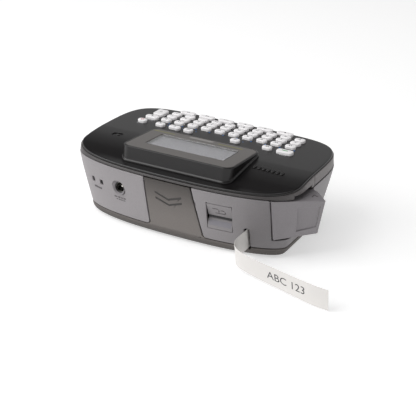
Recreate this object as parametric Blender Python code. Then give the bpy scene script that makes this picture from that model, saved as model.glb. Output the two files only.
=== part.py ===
"""Handheld label maker: printer for laminated tape, with its covers, keyboard, cutter and tape drive.

Run with: blender --background --python part.py
Lengths below are in millimetres and are scaled to metres where a mesh is made.
+X is the user's right, -Y is the keyboard side nearest the user, +Y is the rear, +Z is up.
The origin is the middle of the underside, on the surface that the label maker stands on.
"""

import math

import bmesh
import bpy
from mathutils import Matrix, Vector

MM = 0.001
GAP = 0.3  # free space left between neighbouring pieces

# ---- casing outline: two superellipse halves that meet at the widest line
HALF_WIDTH = 101.3
CENTRE_X = -1.5
WIDEST_Y = 28.56
REAR_REACH = 34.85
REAR_POWER = 2.59
FRONT_REACH = 91.96
FRONT_POWER = 5.82
OUTLINE_POINTS = 72

# ---- levels of the casing
COVER_UNDERSIDE = 1.6
COVER_FLOOR = 3.6
LID_LINE = 9.2
PARTING = 54.4
CASING_TAPER = 10.0
TAPER_POWER = 1.15
WALL = 2.0

# ---- top deck
DECK_TOP = 65.2
CREASE_Y = 6.5
DECK_FALL = [
    (CREASE_Y, DECK_TOP), (22.0, 64.4), (36.0, 62.7), (45.0, 60.9), (51.0, 59.5), (57.0, 58.9), (63.4, 58.8)]
DECK_THICKNESS = 1.6
DECK_INSET = 1.9

# ---- keyboard
KEY_PITCH = 13.16
KEY_FIRST_X = 55.1
KEY_SIZE = (9.4, 6.0)
KEY_ROUND = 2.5
KEY_RISE = 2.3
KEY_EDGE = 0.7
KEY_HOLE_GAP = 0.35
KEY_TRAVEL = 1.1
ROW_F, ROW_A, ROW_B, ROW_C, ROW_D = -19.4, -31.4, -40.6, -48.6, -56.3
BOTTOM_FIRST, BOTTOM_STEP = 0.62, 1.43
ROW_STAGGER = 0.04
MAT_LOW, MAT_HIGH = 61.3, 62.5
FLANGE_LOW, FLANGE_HIGH = 61.6, 62.7
KEY_BOARD_LOW, KEY_BOARD_HIGH = 58.5, 60.1

# ---- display
DISPLAY_X = (-49.5, 51.0)
DISPLAY_Y = (-4.6, 51.0)
DISPLAY_REAR_TOP = 72.2
DISPLAY_FRONT_TOP = 69.0
DISPLAY_ROUND = 8.0
LCD_X = (-34.8, 36.2)
LCD_Y = (8.0, 35.4)
BEZEL_INSET = 1.8
BEZEL_DEPTH = 1.2

# ---- rear of the casing
JACK_X, JACK_Z = 48.5, 36.4
JACK_OUTER_R, JACK_BORE_R, JACK_PIN_R = 6.2, 4.3, 1.1
STRAP_SLOTS_X = (67.6, 77.4)
STRAP_SLOT_Z = 35.6
PEELER_X = (-54.6, -33.6)
PEELER_Z = (20.6, 44.0)
TAPE_SLOT_X = (-68.0, -63.6)
TAPE_SLOT_Z = (6.6, 26.6)

# ---- tape path and drive
TAPE_X = -66.0
TAPE_WIDTH = 18.0
TAPE_THICKNESS = 0.3
TAPE_MIDDLE_Z = 16.5
PLATEN_R = 5.0
PLATEN_Y = 26.0
BLADE_Y = 37.9
GEAR_MODULE = 0.8
PLATEN_TEETH, IDLER_TEETH, PINION_TEETH = 18, 24, 10
GEAR_Z = (32.0, 35.0)
IDLER_BEARING = -10.0
PINION_BEARING = 20.0
CHASSIS_Z = (29.8, 31.2)
SHAFT_R = 1.5

# ---- cutter lever
PIVOT = (-79.0, 43.5)
BOSS_R = 3.0
LEVER_TOP = 53.7
LEVER_TOP_PLAN = [(-84.95, 52.2), (-119.8, 27.6), (-109.0, 15.6), (-102.0, 12.0),
                  (-99.5, 14.0), (-79.5, 40.8), (-79.2, 47.5)]
LEVER_LOW_PLAN = [(-86.0, 43.2), (-112.6, 20.5), (-104.0, 12.4), (-101.0, 12.2),
                  (-98.5, 14.2), (-80.6, 38.5), (-82.4, 41.0)]
BLADE_EDGE_X = -70.0

# ---- cells
CELL_R, CELL_LENGTH = 7.1, 50.0
CELL_LEFT_X = 10.5
CELL_Z = 12.0
CELL_PITCH = 15.0
CELL_COUNT = 6

COLLECTION = "label_maker"


# ------------------------------------------------------------------ scene and materials

def clear_scene():
    """Remove every object, so that the model starts from nothing."""
    for old in list(bpy.data.objects):
        bpy.data.objects.remove(old, do_unlink=True)


def make_collection(name, hidden=False):
    """Return a new collection linked to the scene."""
    found = bpy.data.collections.new(name)
    bpy.context.scene.collection.children.link(found)
    found.hide_render = hidden
    return found


def srgb_to_linear(value):
    return value / 12.92 if value <= 0.04045 else ((value + 0.055) / 1.055) ** 2.4


def finish(name, colour, roughness, metallic=0.0, alpha=1.0):
    """Make a Principled material from a hex colour."""
    made = bpy.data.materials.new(name)
    made.use_nodes = True
    shader = made.node_tree.nodes["Principled BSDF"]
    channels = [srgb_to_linear(int(colour[i:i + 2], 16) / 255) for i in (0, 2, 4)]
    shader.inputs["Base Color"].default_value = (*channels, 1)
    shader.inputs["Roughness"].default_value = roughness
    shader.inputs["Metallic"].default_value = metallic
    shader.inputs["Alpha"].default_value = alpha
    made.diffuse_color = (*channels, alpha)
    return made


clear_scene()
PARTS = make_collection(COLLECTION)
CUTTERS = make_collection(COLLECTION + "_cutters", hidden=True)

LIGHT_GREY = finish("casing_grey_plastic", "989394", 0.5)
MID_GREY = finish("cover_grey_plastic", "746F6B", 0.55)
FRAME_GREY = finish("frame_grey_plastic", "6F6A6A", 0.5)
CHARCOAL = finish("deck_charcoal_plastic", "322F30", 0.45)
BEZEL_BROWN = finish("bezel_grey_brown", "77726D", 0.4)
CLEAR = finish("clear_acrylic", "D9DCE0", 0.08, alpha=0.35)
LCD_GREY = finish("lcd_glass", "9C98A0", 0.2)
KEY_WHITE = finish("key_white_silicone", "F0EEEF", 0.55)
BLACK = finish("black_plastic", "161517", 0.5)
STEEL = finish("spring_steel", "B9BBBD", 0.3, 1.0)
BRASS = finish("brass", "B8934A", 0.35, 1.0)
BOARD_GREEN = finish("board_green", "1F5B3A", 0.45)
RUBBER = finish("rubber_dark", "242324", 0.8)
TAPE_WHITE = finish("label_tape_white", "F4F2F0", 0.4)
CELL_JACKET = finish("cell_jacket", "3C4F63", 0.4)
CASSETTE = finish("cassette_grey", "5B5E63", 0.45)
SPOOL = finish("spool_white", "D7D5D0", 0.5)
ACETAL = finish("gear_acetal", "E6E2D6", 0.4)


# ------------------------------------------------------------------ mesh helpers

def into_scene(name, bm, material, group=None, origin=(0, 0, 0)):
    """Turn a bmesh in millimetres into an object whose own origin is at origin."""
    bmesh.ops.remove_doubles(bm, verts=bm.verts[:], dist=1e-5)
    bmesh.ops.recalc_face_normals(bm, faces=bm.faces[:])
    place = Vector(origin)
    bmesh.ops.translate(bm, verts=bm.verts[:], vec=-place)
    bmesh.ops.scale(bm, verts=bm.verts[:], vec=(MM, MM, MM))
    mesh = bpy.data.meshes.new(name)
    bm.to_mesh(mesh)
    bm.free()
    made = bpy.data.objects.new(name, mesh)
    made.location = place * MM
    (group or PARTS).objects.link(made)
    if material:
        mesh.materials.append(material)
        mesh.shade_smooth()
        mesh.set_sharp_from_angle(angle=math.radians(35))
    return made


def join(target, source):
    """Append the source bmesh to the target bmesh and free the source."""
    scratch = bpy.data.meshes.new("scratch")
    source.to_mesh(scratch)
    source.free()
    target.from_mesh(scratch)
    bpy.data.meshes.remove(scratch)
    return target


def box_bm(low, high):
    bm = bmesh.new()
    bmesh.ops.create_cube(bm, size=1)
    size = [b - a for a, b in zip(low, high)]
    middle = [(a + b) / 2 for a, b in zip(low, high)]
    bmesh.ops.scale(bm, verts=bm.verts[:], vec=size)
    bmesh.ops.translate(bm, verts=bm.verts[:], vec=middle)
    return bm


def cylinder_bm(radius, low, high, centre, sides=24, top_radius=None):
    """Upright cylinder or cone from z = low to z = high."""
    bm = bmesh.new()
    bmesh.ops.create_cone(
        bm, cap_ends=True, segments=sides, radius1=radius,
        radius2=radius if top_radius is None else top_radius, depth=high - low)
    bmesh.ops.translate(bm, verts=bm.verts[:], vec=(centre[0], centre[1], (low + high) / 2))
    return bm


def loft_bm(rings, closed_ends=True):
    """Skin between rings that have the same number of points, with a flat cap on each end."""
    bm = bmesh.new()
    rows = [[bm.verts.new(point) for point in ring] for ring in rings]
    count = len(rows[0])
    for lower, upper in zip(rows, rows[1:]):
        for i in range(count):
            j = (i + 1) % count
            bm.faces.new((lower[i], lower[j], upper[j], upper[i]))
    if closed_ends:
        bm.faces.new(rows[0][::-1])
        bm.faces.new(rows[-1])
    return bm


def prism_bm(plan, low, high):
    """Extrude a plan outline. low and high are heights, or functions of y."""
    heights = [level if callable(level) else (lambda y, level=level: level) for level in (low, high)]
    return loft_bm([[(x, y, height(y)) for x, y in plan] for height in heights])


def profile_bm(profile, x_low, x_high):
    """Extrude an outline in the YZ plane along X."""
    return loft_bm([[(x, y, z) for y, z in profile] for x in (x_low, x_high)])


def rounded_rectangle(centre, size, radius, steps=2):
    """Corner-rounded rectangle as plan points, anticlockwise."""
    half_x, half_y = size[0] / 2, size[1] / 2
    radius = min(radius, half_x - 0.01, half_y - 0.01)
    points = []
    for corner, (sx, sy) in enumerate(((1, 1), (-1, 1), (-1, -1), (1, -1))):
        for step in range(steps + 1):
            angle = math.radians(90 * corner + 90 * step / steps)
            points.append((centre[0] + sx * (half_x - radius) + radius * math.cos(angle),
                           centre[1] + sy * (half_y - radius) + radius * math.sin(angle)))
    return points


def modify(target, kind, tool, operation):
    """Add an exact Boolean of tool to target."""
    modifier = target.modifiers.new(kind, "BOOLEAN")
    modifier.operation = operation
    modifier.solver = "EXACT"
    modifier.object = tool


def cutter(name, bm):
    """A helper solid that shapes other pieces and is not part of the model."""
    made = into_scene(name, bm, None, CUTTERS)
    made.hide_render = True
    made.display_type = "WIRE"
    return made


def subtract(target, name, bm):
    modify(target, "cut_" + name, cutter("cut_" + name, bm), "DIFFERENCE")


def unite(target, name, bm):
    modify(target, "join_" + name, cutter("join_" + name, bm), "UNION")


def intersect(target, name, bm):
    modify(target, "keep_" + name, cutter("keep_" + name, bm), "INTERSECT")


# ------------------------------------------------------------------ outline and levels

def base_outline(count):
    """Evenly spaced plan points of the casing's widest outline, each with its outward normal."""
    dense = []
    fine = 1440
    for k in range(fine):
        angle = 2 * math.pi * k / fine
        c, s = math.cos(angle), math.sin(angle)
        reach, power = (REAR_REACH, REAR_POWER) if s > 0 else (FRONT_REACH, FRONT_POWER)
        radius = (abs(c / HALF_WIDTH) ** power + abs(s / reach) ** power) ** (-1 / power)
        dense.append(Vector((radius * c + CENTRE_X, radius * s + WIDEST_Y)))
    along = [0.0]
    for k in range(fine):
        along.append(along[-1] + (dense[(k + 1) % fine] - dense[k]).length)
    points, k = [], 0
    for i in range(count):
        target = along[-1] * i / count
        while along[k + 1] < target:
            k += 1
        share = (target - along[k]) / (along[k + 1] - along[k])
        points.append(dense[k].lerp(dense[(k + 1) % fine], share))
    normals = []
    for i in range(count):
        tangent = points[(i + 1) % count] - points[i - 1]
        normals.append(Vector((tangent.y, -tangent.x)).normalized())
    return list(zip(points, normals))


OUTLINE = base_outline(OUTLINE_POINTS)


def ring(inset, height):
    """The outline moved inwards, at a height that may be a function of y."""
    found = []
    for point, normal in OUTLINE:
        spot = point - normal * inset
        found.append((spot.x, spot.y, height(spot.y) if callable(height) else height))
    return found


def plan(inset):
    return [(x, y) for x, y, _ in ring(inset, 0)]


def taper(z):
    """How far the casing's side lies inside the outline at height z."""
    return CASING_TAPER * max(0.0, (PARTING - z) / (PARTING - LID_LINE)) ** TAPER_POWER


def rear_wall_y(x, z):
    """Rear face of the casing at x and z, near the middle of the rear."""
    across = abs((x - CENTRE_X) / HALF_WIDTH)
    return WIDEST_Y + REAR_REACH * (1 - across ** REAR_POWER) ** (1 / REAR_POWER) - taper(z)


def deck_height(y):
    """Top of the deck: flat over the keyboard, then a smooth fall to the rear lip behind the crease."""
    if y <= DECK_FALL[0][0]:
        return DECK_TOP
    if y >= DECK_FALL[-1][0]:
        return DECK_FALL[-1][1]
    slopes = [0.0]
    for (y0, z0), (y2, z2) in zip(DECK_FALL, DECK_FALL[2:]):
        slopes.append((z2 - z0) / (y2 - y0))
    slopes.append(0.0)
    for (y0, z0), (y1, z1), m0, m1 in zip(DECK_FALL, DECK_FALL[1:], slopes, slopes[1:]):
        if y <= y1:
            break
    width = y1 - y0
    t = (y - y0) / width
    return ((2 * t ** 3 - 3 * t * t + 1) * z0 + (t ** 3 - 2 * t * t + t) * width * m0
            + (3 * t * t - 2 * t ** 3) * z1 + (t ** 3 - t * t) * width * m1)


def display_top(y):
    slope = (DISPLAY_REAR_TOP - DISPLAY_FRONT_TOP) / (DISPLAY_Y[1] - DISPLAY_Y[0])
    return DISPLAY_FRONT_TOP + slope * (y - DISPLAY_Y[0])


def deck_band(low_drop, high_rise, y_low, y_high, steps=14):
    """YZ outline of a sheet that follows the deck, from low_drop under it to high_rise over it."""
    stations = [y_low + (y_high - y_low) * i / steps for i in range(steps + 1)]
    if y_low < CREASE_Y < y_high:
        stations = sorted(stations + [CREASE_Y])
    upper = [(y, deck_height(y) + high_rise) for y in stations]
    lower = [(y, deck_height(y) - low_drop) for y in reversed(stations)]
    return upper + lower


def facing_out(x, z):
    """Turn about Z that makes the local +Y leave the rear wall squarely at x."""
    step = 1.0
    slope = (rear_wall_y(x + step, z) - rear_wall_y(x - step, z)) / (2 * step)
    return Matrix.Translation((x, rear_wall_y(x, z), z)) @ Matrix.Rotation(math.atan(slope), 4, "Z")


# ------------------------------------------------------------------ casing shells

TONGUE_TOP_X = (-20.2, 22.1)
TONGUE_LOW_X = (-27.9, 20.9)
TONGUE_CORNER = 3.2


def tongue_outline(grow, top):
    """XZ outline of the rear tongue; its sides flare round the casing panels' lower corners."""
    left_top, right_top = TONGUE_TOP_X
    left_low, right_low = TONGUE_LOW_X
    flare_start = LID_LINE + TONGUE_CORNER
    points = [(left_top - grow, top), (left_low - grow, flare_start)]
    for side, start in ((-1, left_low), (1, right_low)):
        arc = []
        for step in range(1, 5):
            angle = math.radians(90 * step / 4)
            arc.append((start + side * (grow + TONGUE_CORNER * (1 - math.cos(angle))),
                        flare_start - TONGUE_CORNER * math.sin(angle)))
        points += arc if side < 0 else [(arc[-1][0], 7.0)] + arc[::-1]
        if side < 0:
            points.append((arc[-1][0], 7.0))
    points += [(right_low + grow, flare_start), (right_top + grow, top)]
    return points


def tongue_solid(grow, top):
    outline = tongue_outline(grow, top)
    return loft_bm([[(x, y, z) for x, z in outline] for y in (20.0, 80.0)])


def wall_rings(levels, thickness):
    """Outer rings up the levels, then inner rings down them."""
    outer = [ring(taper(z), z) for z in levels]
    inner = [ring(taper(z) + thickness, z) for z in reversed(levels)]
    return outer + inner


def closed_tube_bm(rings):
    """Ring-shaped solid whose section is the closed loop of rings."""
    return loft_bm(rings + [rings[0]], closed_ends=False)


def make_main_casing():
    """Lower casing: a tapered wall with openings for the cover's tongue, tape, socket and lever."""
    levels = [LID_LINE, 18.0, 30.0, 42.0, PARTING]
    casing = into_scene("main_casing", closed_tube_bm(wall_rings(levels, WALL)), LIGHT_GREY)
    subtract(casing, "tongue_opening", tongue_solid(0.0, PARTING + 5))
    openings = box_bm((TAPE_SLOT_X[0], 40, LID_LINE - 1), (TAPE_SLOT_X[1], 62, TAPE_SLOT_Z[1]))
    for x in STRAP_SLOTS_X:
        hole = box_bm((-1.6, -5, -2.6), (1.6, 3, 2.6))
        bmesh.ops.transform(hole, matrix=facing_out(x, STRAP_SLOT_Z), verts=hole.verts[:])
        join(openings, hole)
    socket = cylinder_bm(JACK_OUTER_R + GAP, -5, 6, (0, 0), 24)
    bmesh.ops.rotate(socket, matrix=Matrix.Rotation(math.radians(90), 3, "X"), verts=socket.verts[:])
    bmesh.ops.transform(socket, matrix=facing_out(JACK_X, JACK_Z), verts=socket.verts[:])
    join(openings, socket)
    x_middle = sum(PEELER_X) / 2
    half = (PEELER_X[1] - PEELER_X[0]) / 2 + GAP
    window = box_bm((-half, -12, PEELER_Z[0] - GAP - 30), (half, 8, PEELER_Z[1] + GAP - 30))
    bmesh.ops.transform(window, matrix=facing_out(x_middle, 30), verts=window.verts[:])
    join(openings, window)
    subtract(casing, "rear_openings", openings)
    bay = loft_bm([
        [(-85.7, 70, 17.2), (-130, 70, 17.2), (-130, 9.4, 17.2), (-88, 9.4, 17.2), (-80, 30, 17.2)],
        [(-84.6, 70, 60), (-130, 70, 60), (-130, 9.4, 60), (-88, 9.4, 60), (-78, 30, 60)]])
    subtract(casing, "lever_bay", bay)
    return casing


def make_bottom_cover():
    """Battery and cassette cover: a shallow tray with a tall rear tongue."""
    rim = LID_LINE - GAP
    rings = [ring(18.0, COVER_UNDERSIDE), ring(15.2, COVER_UNDERSIDE + 0.6), ring(13.0, 4.4),
             ring(10.1, rim), ring(10.1 + WALL, rim), ring(15.6, COVER_FLOOR)]
    cover = into_scene("bottom_cover", loft_bm(rings), MID_GREY)
    subtract(cover, "tape_notch", box_bm((TAPE_SLOT_X[0], 44, TAPE_SLOT_Z[0]), (TAPE_SLOT_X[1], 62, 20)))
    low = rim - 1.5
    wall = closed_tube_bm([ring(taper(z), z) for z in (low, 18.0, 30.0, 42.0, PARTING - GAP)]
                          + [ring(taper(z) + WALL, z) for z in (PARTING - GAP, 42.0, 30.0, 18.0, low)])
    tongue = cutter("tongue_wall", wall)
    modify(tongue, "tongue_shape", cutter("tongue_shape", tongue_solid(-GAP, PARTING + 4)), "INTERSECT")
    modify(cover, "join_tongue", tongue, "UNION")
    unite(cover, "desk_pad", box_bm((-30, -12, 0), (30, 12, COVER_UNDERSIDE + 0.8)))
    return cover


def make_upper_frame():
    """Band between the casing and the deck, with a ledge that the deck rests on."""
    def under_deck(y):
        return deck_height(y) - DECK_THICKNESS - GAP
    low = PARTING + GAP
    rings = [ring(0.1, low), ring(1.3, under_deck), ring(3.2, under_deck), ring(2.2, low)]
    return into_scene("upper_frame", closed_tube_bm(rings), FRAME_GREY)


def make_top_deck(holes):
    """Charcoal deck: a sheet that follows the deck profile, with a hole for each key."""
    deck = into_scene("top_deck", profile_bm(deck_band(DECK_THICKNESS, 0, -70, 70), -110, 110), CHARCOAL)
    intersect(deck, "deck_outline", prism_bm(plan(DECK_INSET), 50, 80))
    subtract(deck, "key_holes", holes)
    subtract(deck, "display_cable", box_bm((-20, 14, 55), (25, 20, 70)))
    return deck


# ------------------------------------------------------------------ display

def display_plan(inset):
    centre = (sum(DISPLAY_X) / 2, sum(DISPLAY_Y) / 2)
    size = (DISPLAY_X[1] - DISPLAY_X[0] - 2 * inset, DISPLAY_Y[1] - DISPLAY_Y[0] - 2 * inset)
    return rounded_rectangle(centre, size, DISPLAY_ROUND - inset, 4)


def level_under(drop):
    """Height of a surface that lies drop below the sloping top of the display."""
    return lambda y: display_top(y) - drop


def frame_plan(grow):
    """The viewing opening in plan, grown on all sides."""
    centre = (sum(LCD_X) / 2, sum(LCD_Y) / 2)
    size = (LCD_X[1] - LCD_X[0] + 2 * grow, LCD_Y[1] - LCD_Y[0] + 2 * grow)
    return rounded_rectangle(centre, size, 1.0 + max(0, grow), 2)


def make_display():
    """Wedge-shaped housing with its bezel, window and liquid-crystal module."""
    housing = into_scene("display_housing", prism_bm(display_plan(0), 57, level_under(0)), CHARCOAL)
    subtract(housing, "under_display", profile_bm(
        [(y, z - 10) for y, z in deck_band(0, 10 + GAP, -12, 60)], -60, 70))
    subtract(housing, "display_cavity", prism_bm(display_plan(2.4), 48, level_under(2.4)))
    subtract(housing, "bezel_rebate", prism_bm(display_plan(BEZEL_INSET - GAP), level_under(BEZEL_DEPTH), 90))
    subtract(housing, "view_opening", prism_bm(frame_plan(0), 60, 90))
    bezel = into_scene("display_bezel", prism_bm(
        display_plan(BEZEL_INSET), level_under(BEZEL_DEPTH - GAP), level_under(0)), BEZEL_BROWN)
    subtract(bezel, "bezel_opening", prism_bm(frame_plan(GAP), 60, 90))
    into_scene("display_window", prism_bm(frame_plan(0), level_under(1.1), level_under(0.15)), CLEAR)
    into_scene("lcd_module", prism_bm(frame_plan(2.0), level_under(4.4), level_under(2.4 + GAP)), LCD_GREY)


# ------------------------------------------------------------------ keyboard

def column_x(column):
    return KEY_FIRST_X - KEY_PITCH * column


def mat_keys():
    """Centres of the thirty letter and number keys, which are moulded in one mat."""
    return [(column_x(column + ROW_STAGGER * step), row)
            for step, row in enumerate((ROW_A, ROW_B, ROW_C)) for column in range(10)]


def separate_keys():
    """Name, centre and size of each key that is a cap of its own."""
    keys = [
        ("key_power", (column_x(-1.33), ROW_F - 0.6), (8.2, 5.8)),
        ("key_print", (column_x(9.05), ROW_F + 1.0), (14.4, 7.0)),
        ("key_shift", (column_x(-1.08), ROW_A), (12.4, 6.4)),
        ("key_code", (column_x(-1.0), (ROW_B + ROW_C) / 2), (10.4, 13.4)),
    ]
    function_keys = (("home", 0.07, 8.6), ("escape", 1.15, 10.8), ("menu", 2.16, 8.6), ("size", 5.55, 8.6),
                     ("style", 7.8, 8.6))
    for word, column, width in function_keys:
        keys.append(("key_" + word, (column_x(column), ROW_F), (width, 6.0)))
    bottom_keys = ("symbol", "accent", "space", "left", "right", "enter")
    for index, word in enumerate(bottom_keys):
        keys.append(("key_" + word, (column_x(BOTTOM_FIRST + BOTTOM_STEP * index), ROW_D), (15.0, 5.6)))
    return keys


def key_cap_bm(centre, size, low):
    """Upright key with a rounded plan and a bevelled top edge."""
    top = DECK_TOP + KEY_RISE
    edge = KEY_EDGE
    outer = rounded_rectangle(centre, size, KEY_ROUND)
    inner = rounded_rectangle(centre, (size[0] - 2 * edge, size[1] - 2 * edge), KEY_ROUND - edge)
    return loft_bm([[(x, y, low) for x, y in outer], [(x, y, top - edge) for x, y in outer],
                    [(x, y, top) for x, y in inner]])


def make_keyboard():
    """Key mat, separate key caps and the board under them. Returns the deck's key holes."""
    holes = bmesh.new()

    def add_hole(centre, size):
        grown = (size[0] + 2 * KEY_HOLE_GAP, size[1] + 2 * KEY_HOLE_GAP)
        join(holes, prism_bm(rounded_rectangle(centre, grown, KEY_ROUND + KEY_HOLE_GAP), 55, 80))

    first, last = column_x(0), column_x(9)
    corner, opposite = (last - 6.4, ROW_C - 4.0, MAT_LOW), (first + 6.4, ROW_A + 4.0, MAT_HIGH)
    mat = into_scene("key_mat", box_bm(corner, opposite),
                     KEY_WHITE)
    posts = bmesh.new()
    for centre in mat_keys():
        join(posts, key_cap_bm(centre, KEY_SIZE, MAT_LOW + 0.4))
        add_hole(centre, KEY_SIZE)
    unite(mat, "key_posts", posts)
    for name, centre, size in separate_keys():
        flange_size = (size[0] + 1.2, size[1] + 1.2)
        foot = rounded_rectangle(centre, flange_size, KEY_ROUND)
        neck = rounded_rectangle(centre, size, KEY_ROUND)
        edge = KEY_EDGE
        crown = rounded_rectangle(centre, (size[0] - 2 * edge, size[1] - 2 * edge), KEY_ROUND - edge)
        top = DECK_TOP + KEY_RISE
        rings = [[(x, y, z) for x, y in outline] for outline, z in (
            (foot, FLANGE_LOW), (foot, FLANGE_HIGH), (neck, FLANGE_HIGH), (neck, top - edge), (crown, top))]
        into_scene(name, loft_bm(rings), KEY_WHITE, origin=(*centre, FLANGE_HIGH))
        add_hole(centre, size)
    board = prism_bm(rounded_rectangle((0, -35.5), (160, 43), 10), KEY_BOARD_LOW, KEY_BOARD_HIGH)
    into_scene("key_board", board, BOARD_GREEN)
    return holes


# ------------------------------------------------------------------ rear fittings

def make_dc_jack():
    """Barrel socket with its centre pin, set in the rear wall."""
    jack = cylinder_bm(JACK_OUTER_R, -0.5, 13.5, (0, 0), 24)
    bore = cylinder_bm(JACK_BORE_R, -2.0, 10.5, (0, 0), 20)
    pin = cylinder_bm(JACK_PIN_R, 4.7, 12.0, (0, 0), 12)
    quarter = Matrix.Rotation(math.radians(90), 3, "X")
    for bm in (jack, bore, pin):
        bmesh.ops.rotate(bm, matrix=quarter, verts=bm.verts[:])
        bmesh.ops.transform(bm, matrix=facing_out(JACK_X, JACK_Z), verts=bm.verts[:])
    socket = into_scene("dc_jack", jack, BLACK)
    subtract(socket, "jack_bore", bore)
    unite(socket, "jack_pin", pin)
    return socket


PEELER_DEPTH = 4.6
PEELER_BACK = 9.0
PEELER_SLOT_Z = (30.2, 31.8)


def make_backing_peeler():
    """Insert that splits the backing off a label: a sloping face over a slot and a curved lip."""
    def wall(z):
        return rear_wall_y(sum(PEELER_X) / 2, z)
    low, high = PEELER_Z
    slot_low, slot_high = PEELER_SLOT_Z
    lean = wall(30.0)
    profile = [(wall(high) - lean - 0.1, high), (wall(high) - lean - PEELER_BACK, high),
               (-PEELER_BACK, low), (wall(low) - lean - 0.1, low), (wall(low + 2) - lean - 0.1, low + 2)]
    lip_front = wall(low + 2) - lean
    for step in range(1, 5):
        angle = math.radians(90 * step / 4)
        profile.append((lip_front - 3.6 * (1 - math.cos(angle)),
                        low + 2 + (slot_low - low - 2) * math.sin(angle)))
    profile += [(-PEELER_DEPTH - 3.0, slot_low), (-PEELER_DEPTH - 3.0, slot_high), (-PEELER_DEPTH, slot_high)]
    half = (PEELER_X[1] - PEELER_X[0]) / 2
    insert = profile_bm([(y, z - 30.0) for y, z in profile], -half, half)
    bmesh.ops.transform(insert, matrix=facing_out(sum(PEELER_X) / 2, 30.0), verts=insert.verts[:])
    return into_scene("backing_peeler", insert, LIGHT_GREY)


# ------------------------------------------------------------------ cutter

def lever_low_z(x):
    return 18.0 + (-86.0 - x) * 0.11


def make_cutter():
    """Corner lever on its pivot pin, with the return spring, blade carrier and blade."""
    low = [(x, y, lever_low_z(x)) for x, y in LEVER_LOW_PLAN]
    high = [(x, y, LEVER_TOP) for x, y in LEVER_TOP_PLAN]
    lever = into_scene("cutter_lever", loft_bm([low, high]), MID_GREY, origin=(*PIVOT, 0))
    unite(lever, "lever_boss", cylinder_bm(BOSS_R, 30, 44, PIVOT, 24))
    cavity = loft_bm([
        [(-87.0, 45.0, 44.3), (-87.0, 38.0, 44.3), (-75.0, 36.0, 44.3), (-75.0, 48.4, 44.3)],
        [(-87.0, 45.0, 51.6), (-87.0, 38.0, 51.6), (-75.0, 36.0, 51.6), (-75.0, 48.4, 51.6)]])
    subtract(lever, "lever_spring_space", cavity)
    subtract(lever, "lever_bore", cylinder_bm(SHAFT_R + GAP, 10, 60, PIVOT, 20))
    into_scene("lever_pivot_pin", cylinder_bm(SHAFT_R, 28.0, PARTING, PIVOT, 16), STEEL)
    turns, steps = 4, 8
    spring = bpy.data.curves.new("lever_return_spring", "CURVE")
    spring.dimensions = "3D"
    spring.bevel_depth = 0.3 * MM
    spring.bevel_resolution = 1
    spring.use_fill_caps = True
    line = spring.splines.new("POLY")
    line.points.add(turns * steps)
    coil_r, coil_low, coil_pitch = 2.5, 45.2, 1.3
    for i, point in enumerate(line.points):
        angle = 2 * math.pi * i / steps
        point.co = ((PIVOT[0] + coil_r * math.cos(angle)) * MM, (PIVOT[1] + coil_r * math.sin(angle)) * MM,
                    (coil_low + coil_pitch * i / steps) * MM, 1)
    coil = bpy.data.objects.new("lever_return_spring", spring)
    coil.data.materials.append(STEEL)
    PARTS.objects.link(coil)
    corner, opposite = (-75.4, BLADE_Y - 1.8, 6.4), (-71.4, BLADE_Y + 1.6, 27.0)
    carrier = into_scene("cutter_blade_carrier", box_bm(corner, opposite),
                         BLACK, origin=(-73.4, BLADE_Y, 6.4))
    subtract(carrier, "blade_slot", box_bm((-73.6, BLADE_Y - 0.6, 6.8), (-70, BLADE_Y + 0.6, 26.4)))
    bevel_x = BLADE_EDGE_X - 0.6
    edge = [(-73.3, -0.3), (bevel_x, -0.3), (BLADE_EDGE_X, 0.0), (bevel_x, 0.3), (-73.3, 0.3)]
    blade = loft_bm([[(x, BLADE_Y + y, z) for x, y in edge] for z in (7.2, 26.0)])
    into_scene("cutter_blade", blade, STEEL)


# ------------------------------------------------------------------ tape path and drive

def gear_plan(teeth, turn_deg):
    """Plan of a spur gear with flat-flanked teeth, thinned for backlash; one tooth points at turn_deg."""
    pitch_r = GEAR_MODULE * teeth / 2
    root, tip = pitch_r - 1.2 * GEAR_MODULE, pitch_r + 0.8 * GEAR_MODULE
    step = 360 / teeth
    widths = ((root, 0.30), (tip, 0.11))
    points = []
    for tooth in range(teeth):
        middle = turn_deg + tooth * step
        flank = [(radius, middle - step * half) for radius, half in widths]
        flank += [(radius, middle + step * half) for radius, half in reversed(widths)]
        points += [(r * math.cos(math.radians(a)), r * math.sin(math.radians(a))) for r, a in flank]
    return points


def gear(name, teeth, centre, turn_deg, bore):
    points = [(x + centre[0], y + centre[1]) for x, y in gear_plan(teeth, turn_deg)]
    made = into_scene(name, prism_bm(points, *GEAR_Z), ACETAL, origin=(*centre, GEAR_Z[0]))
    subtract(made, name + "_bore", cylinder_bm(bore, GEAR_Z[0] - 2, GEAR_Z[1] + 2, centre, 16))
    return made


def polar(centre, distance, bearing_deg):
    angle = math.radians(bearing_deg)
    return centre[0] + distance * math.cos(angle), centre[1] + distance * math.sin(angle)


def smooth_path(points, per_span):
    """Catmull-Rom curve through the points."""
    found = []
    padded = [points[0]] + points + [points[-1]]
    for a, b, c, d in zip(padded, padded[1:], padded[2:], padded[3:]):
        for step in range(per_span):
            t = step / per_span
            found.append(tuple(
                0.5 * (2 * q + (r - p) * t + (2 * p - 5 * q + 4 * r - s) * t * t
                       + (3 * q - p - 3 * r + s) * t ** 3)
                for p, q, r, s in zip(a, b, c, d)))
    found.append(points[-1])
    return found


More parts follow.
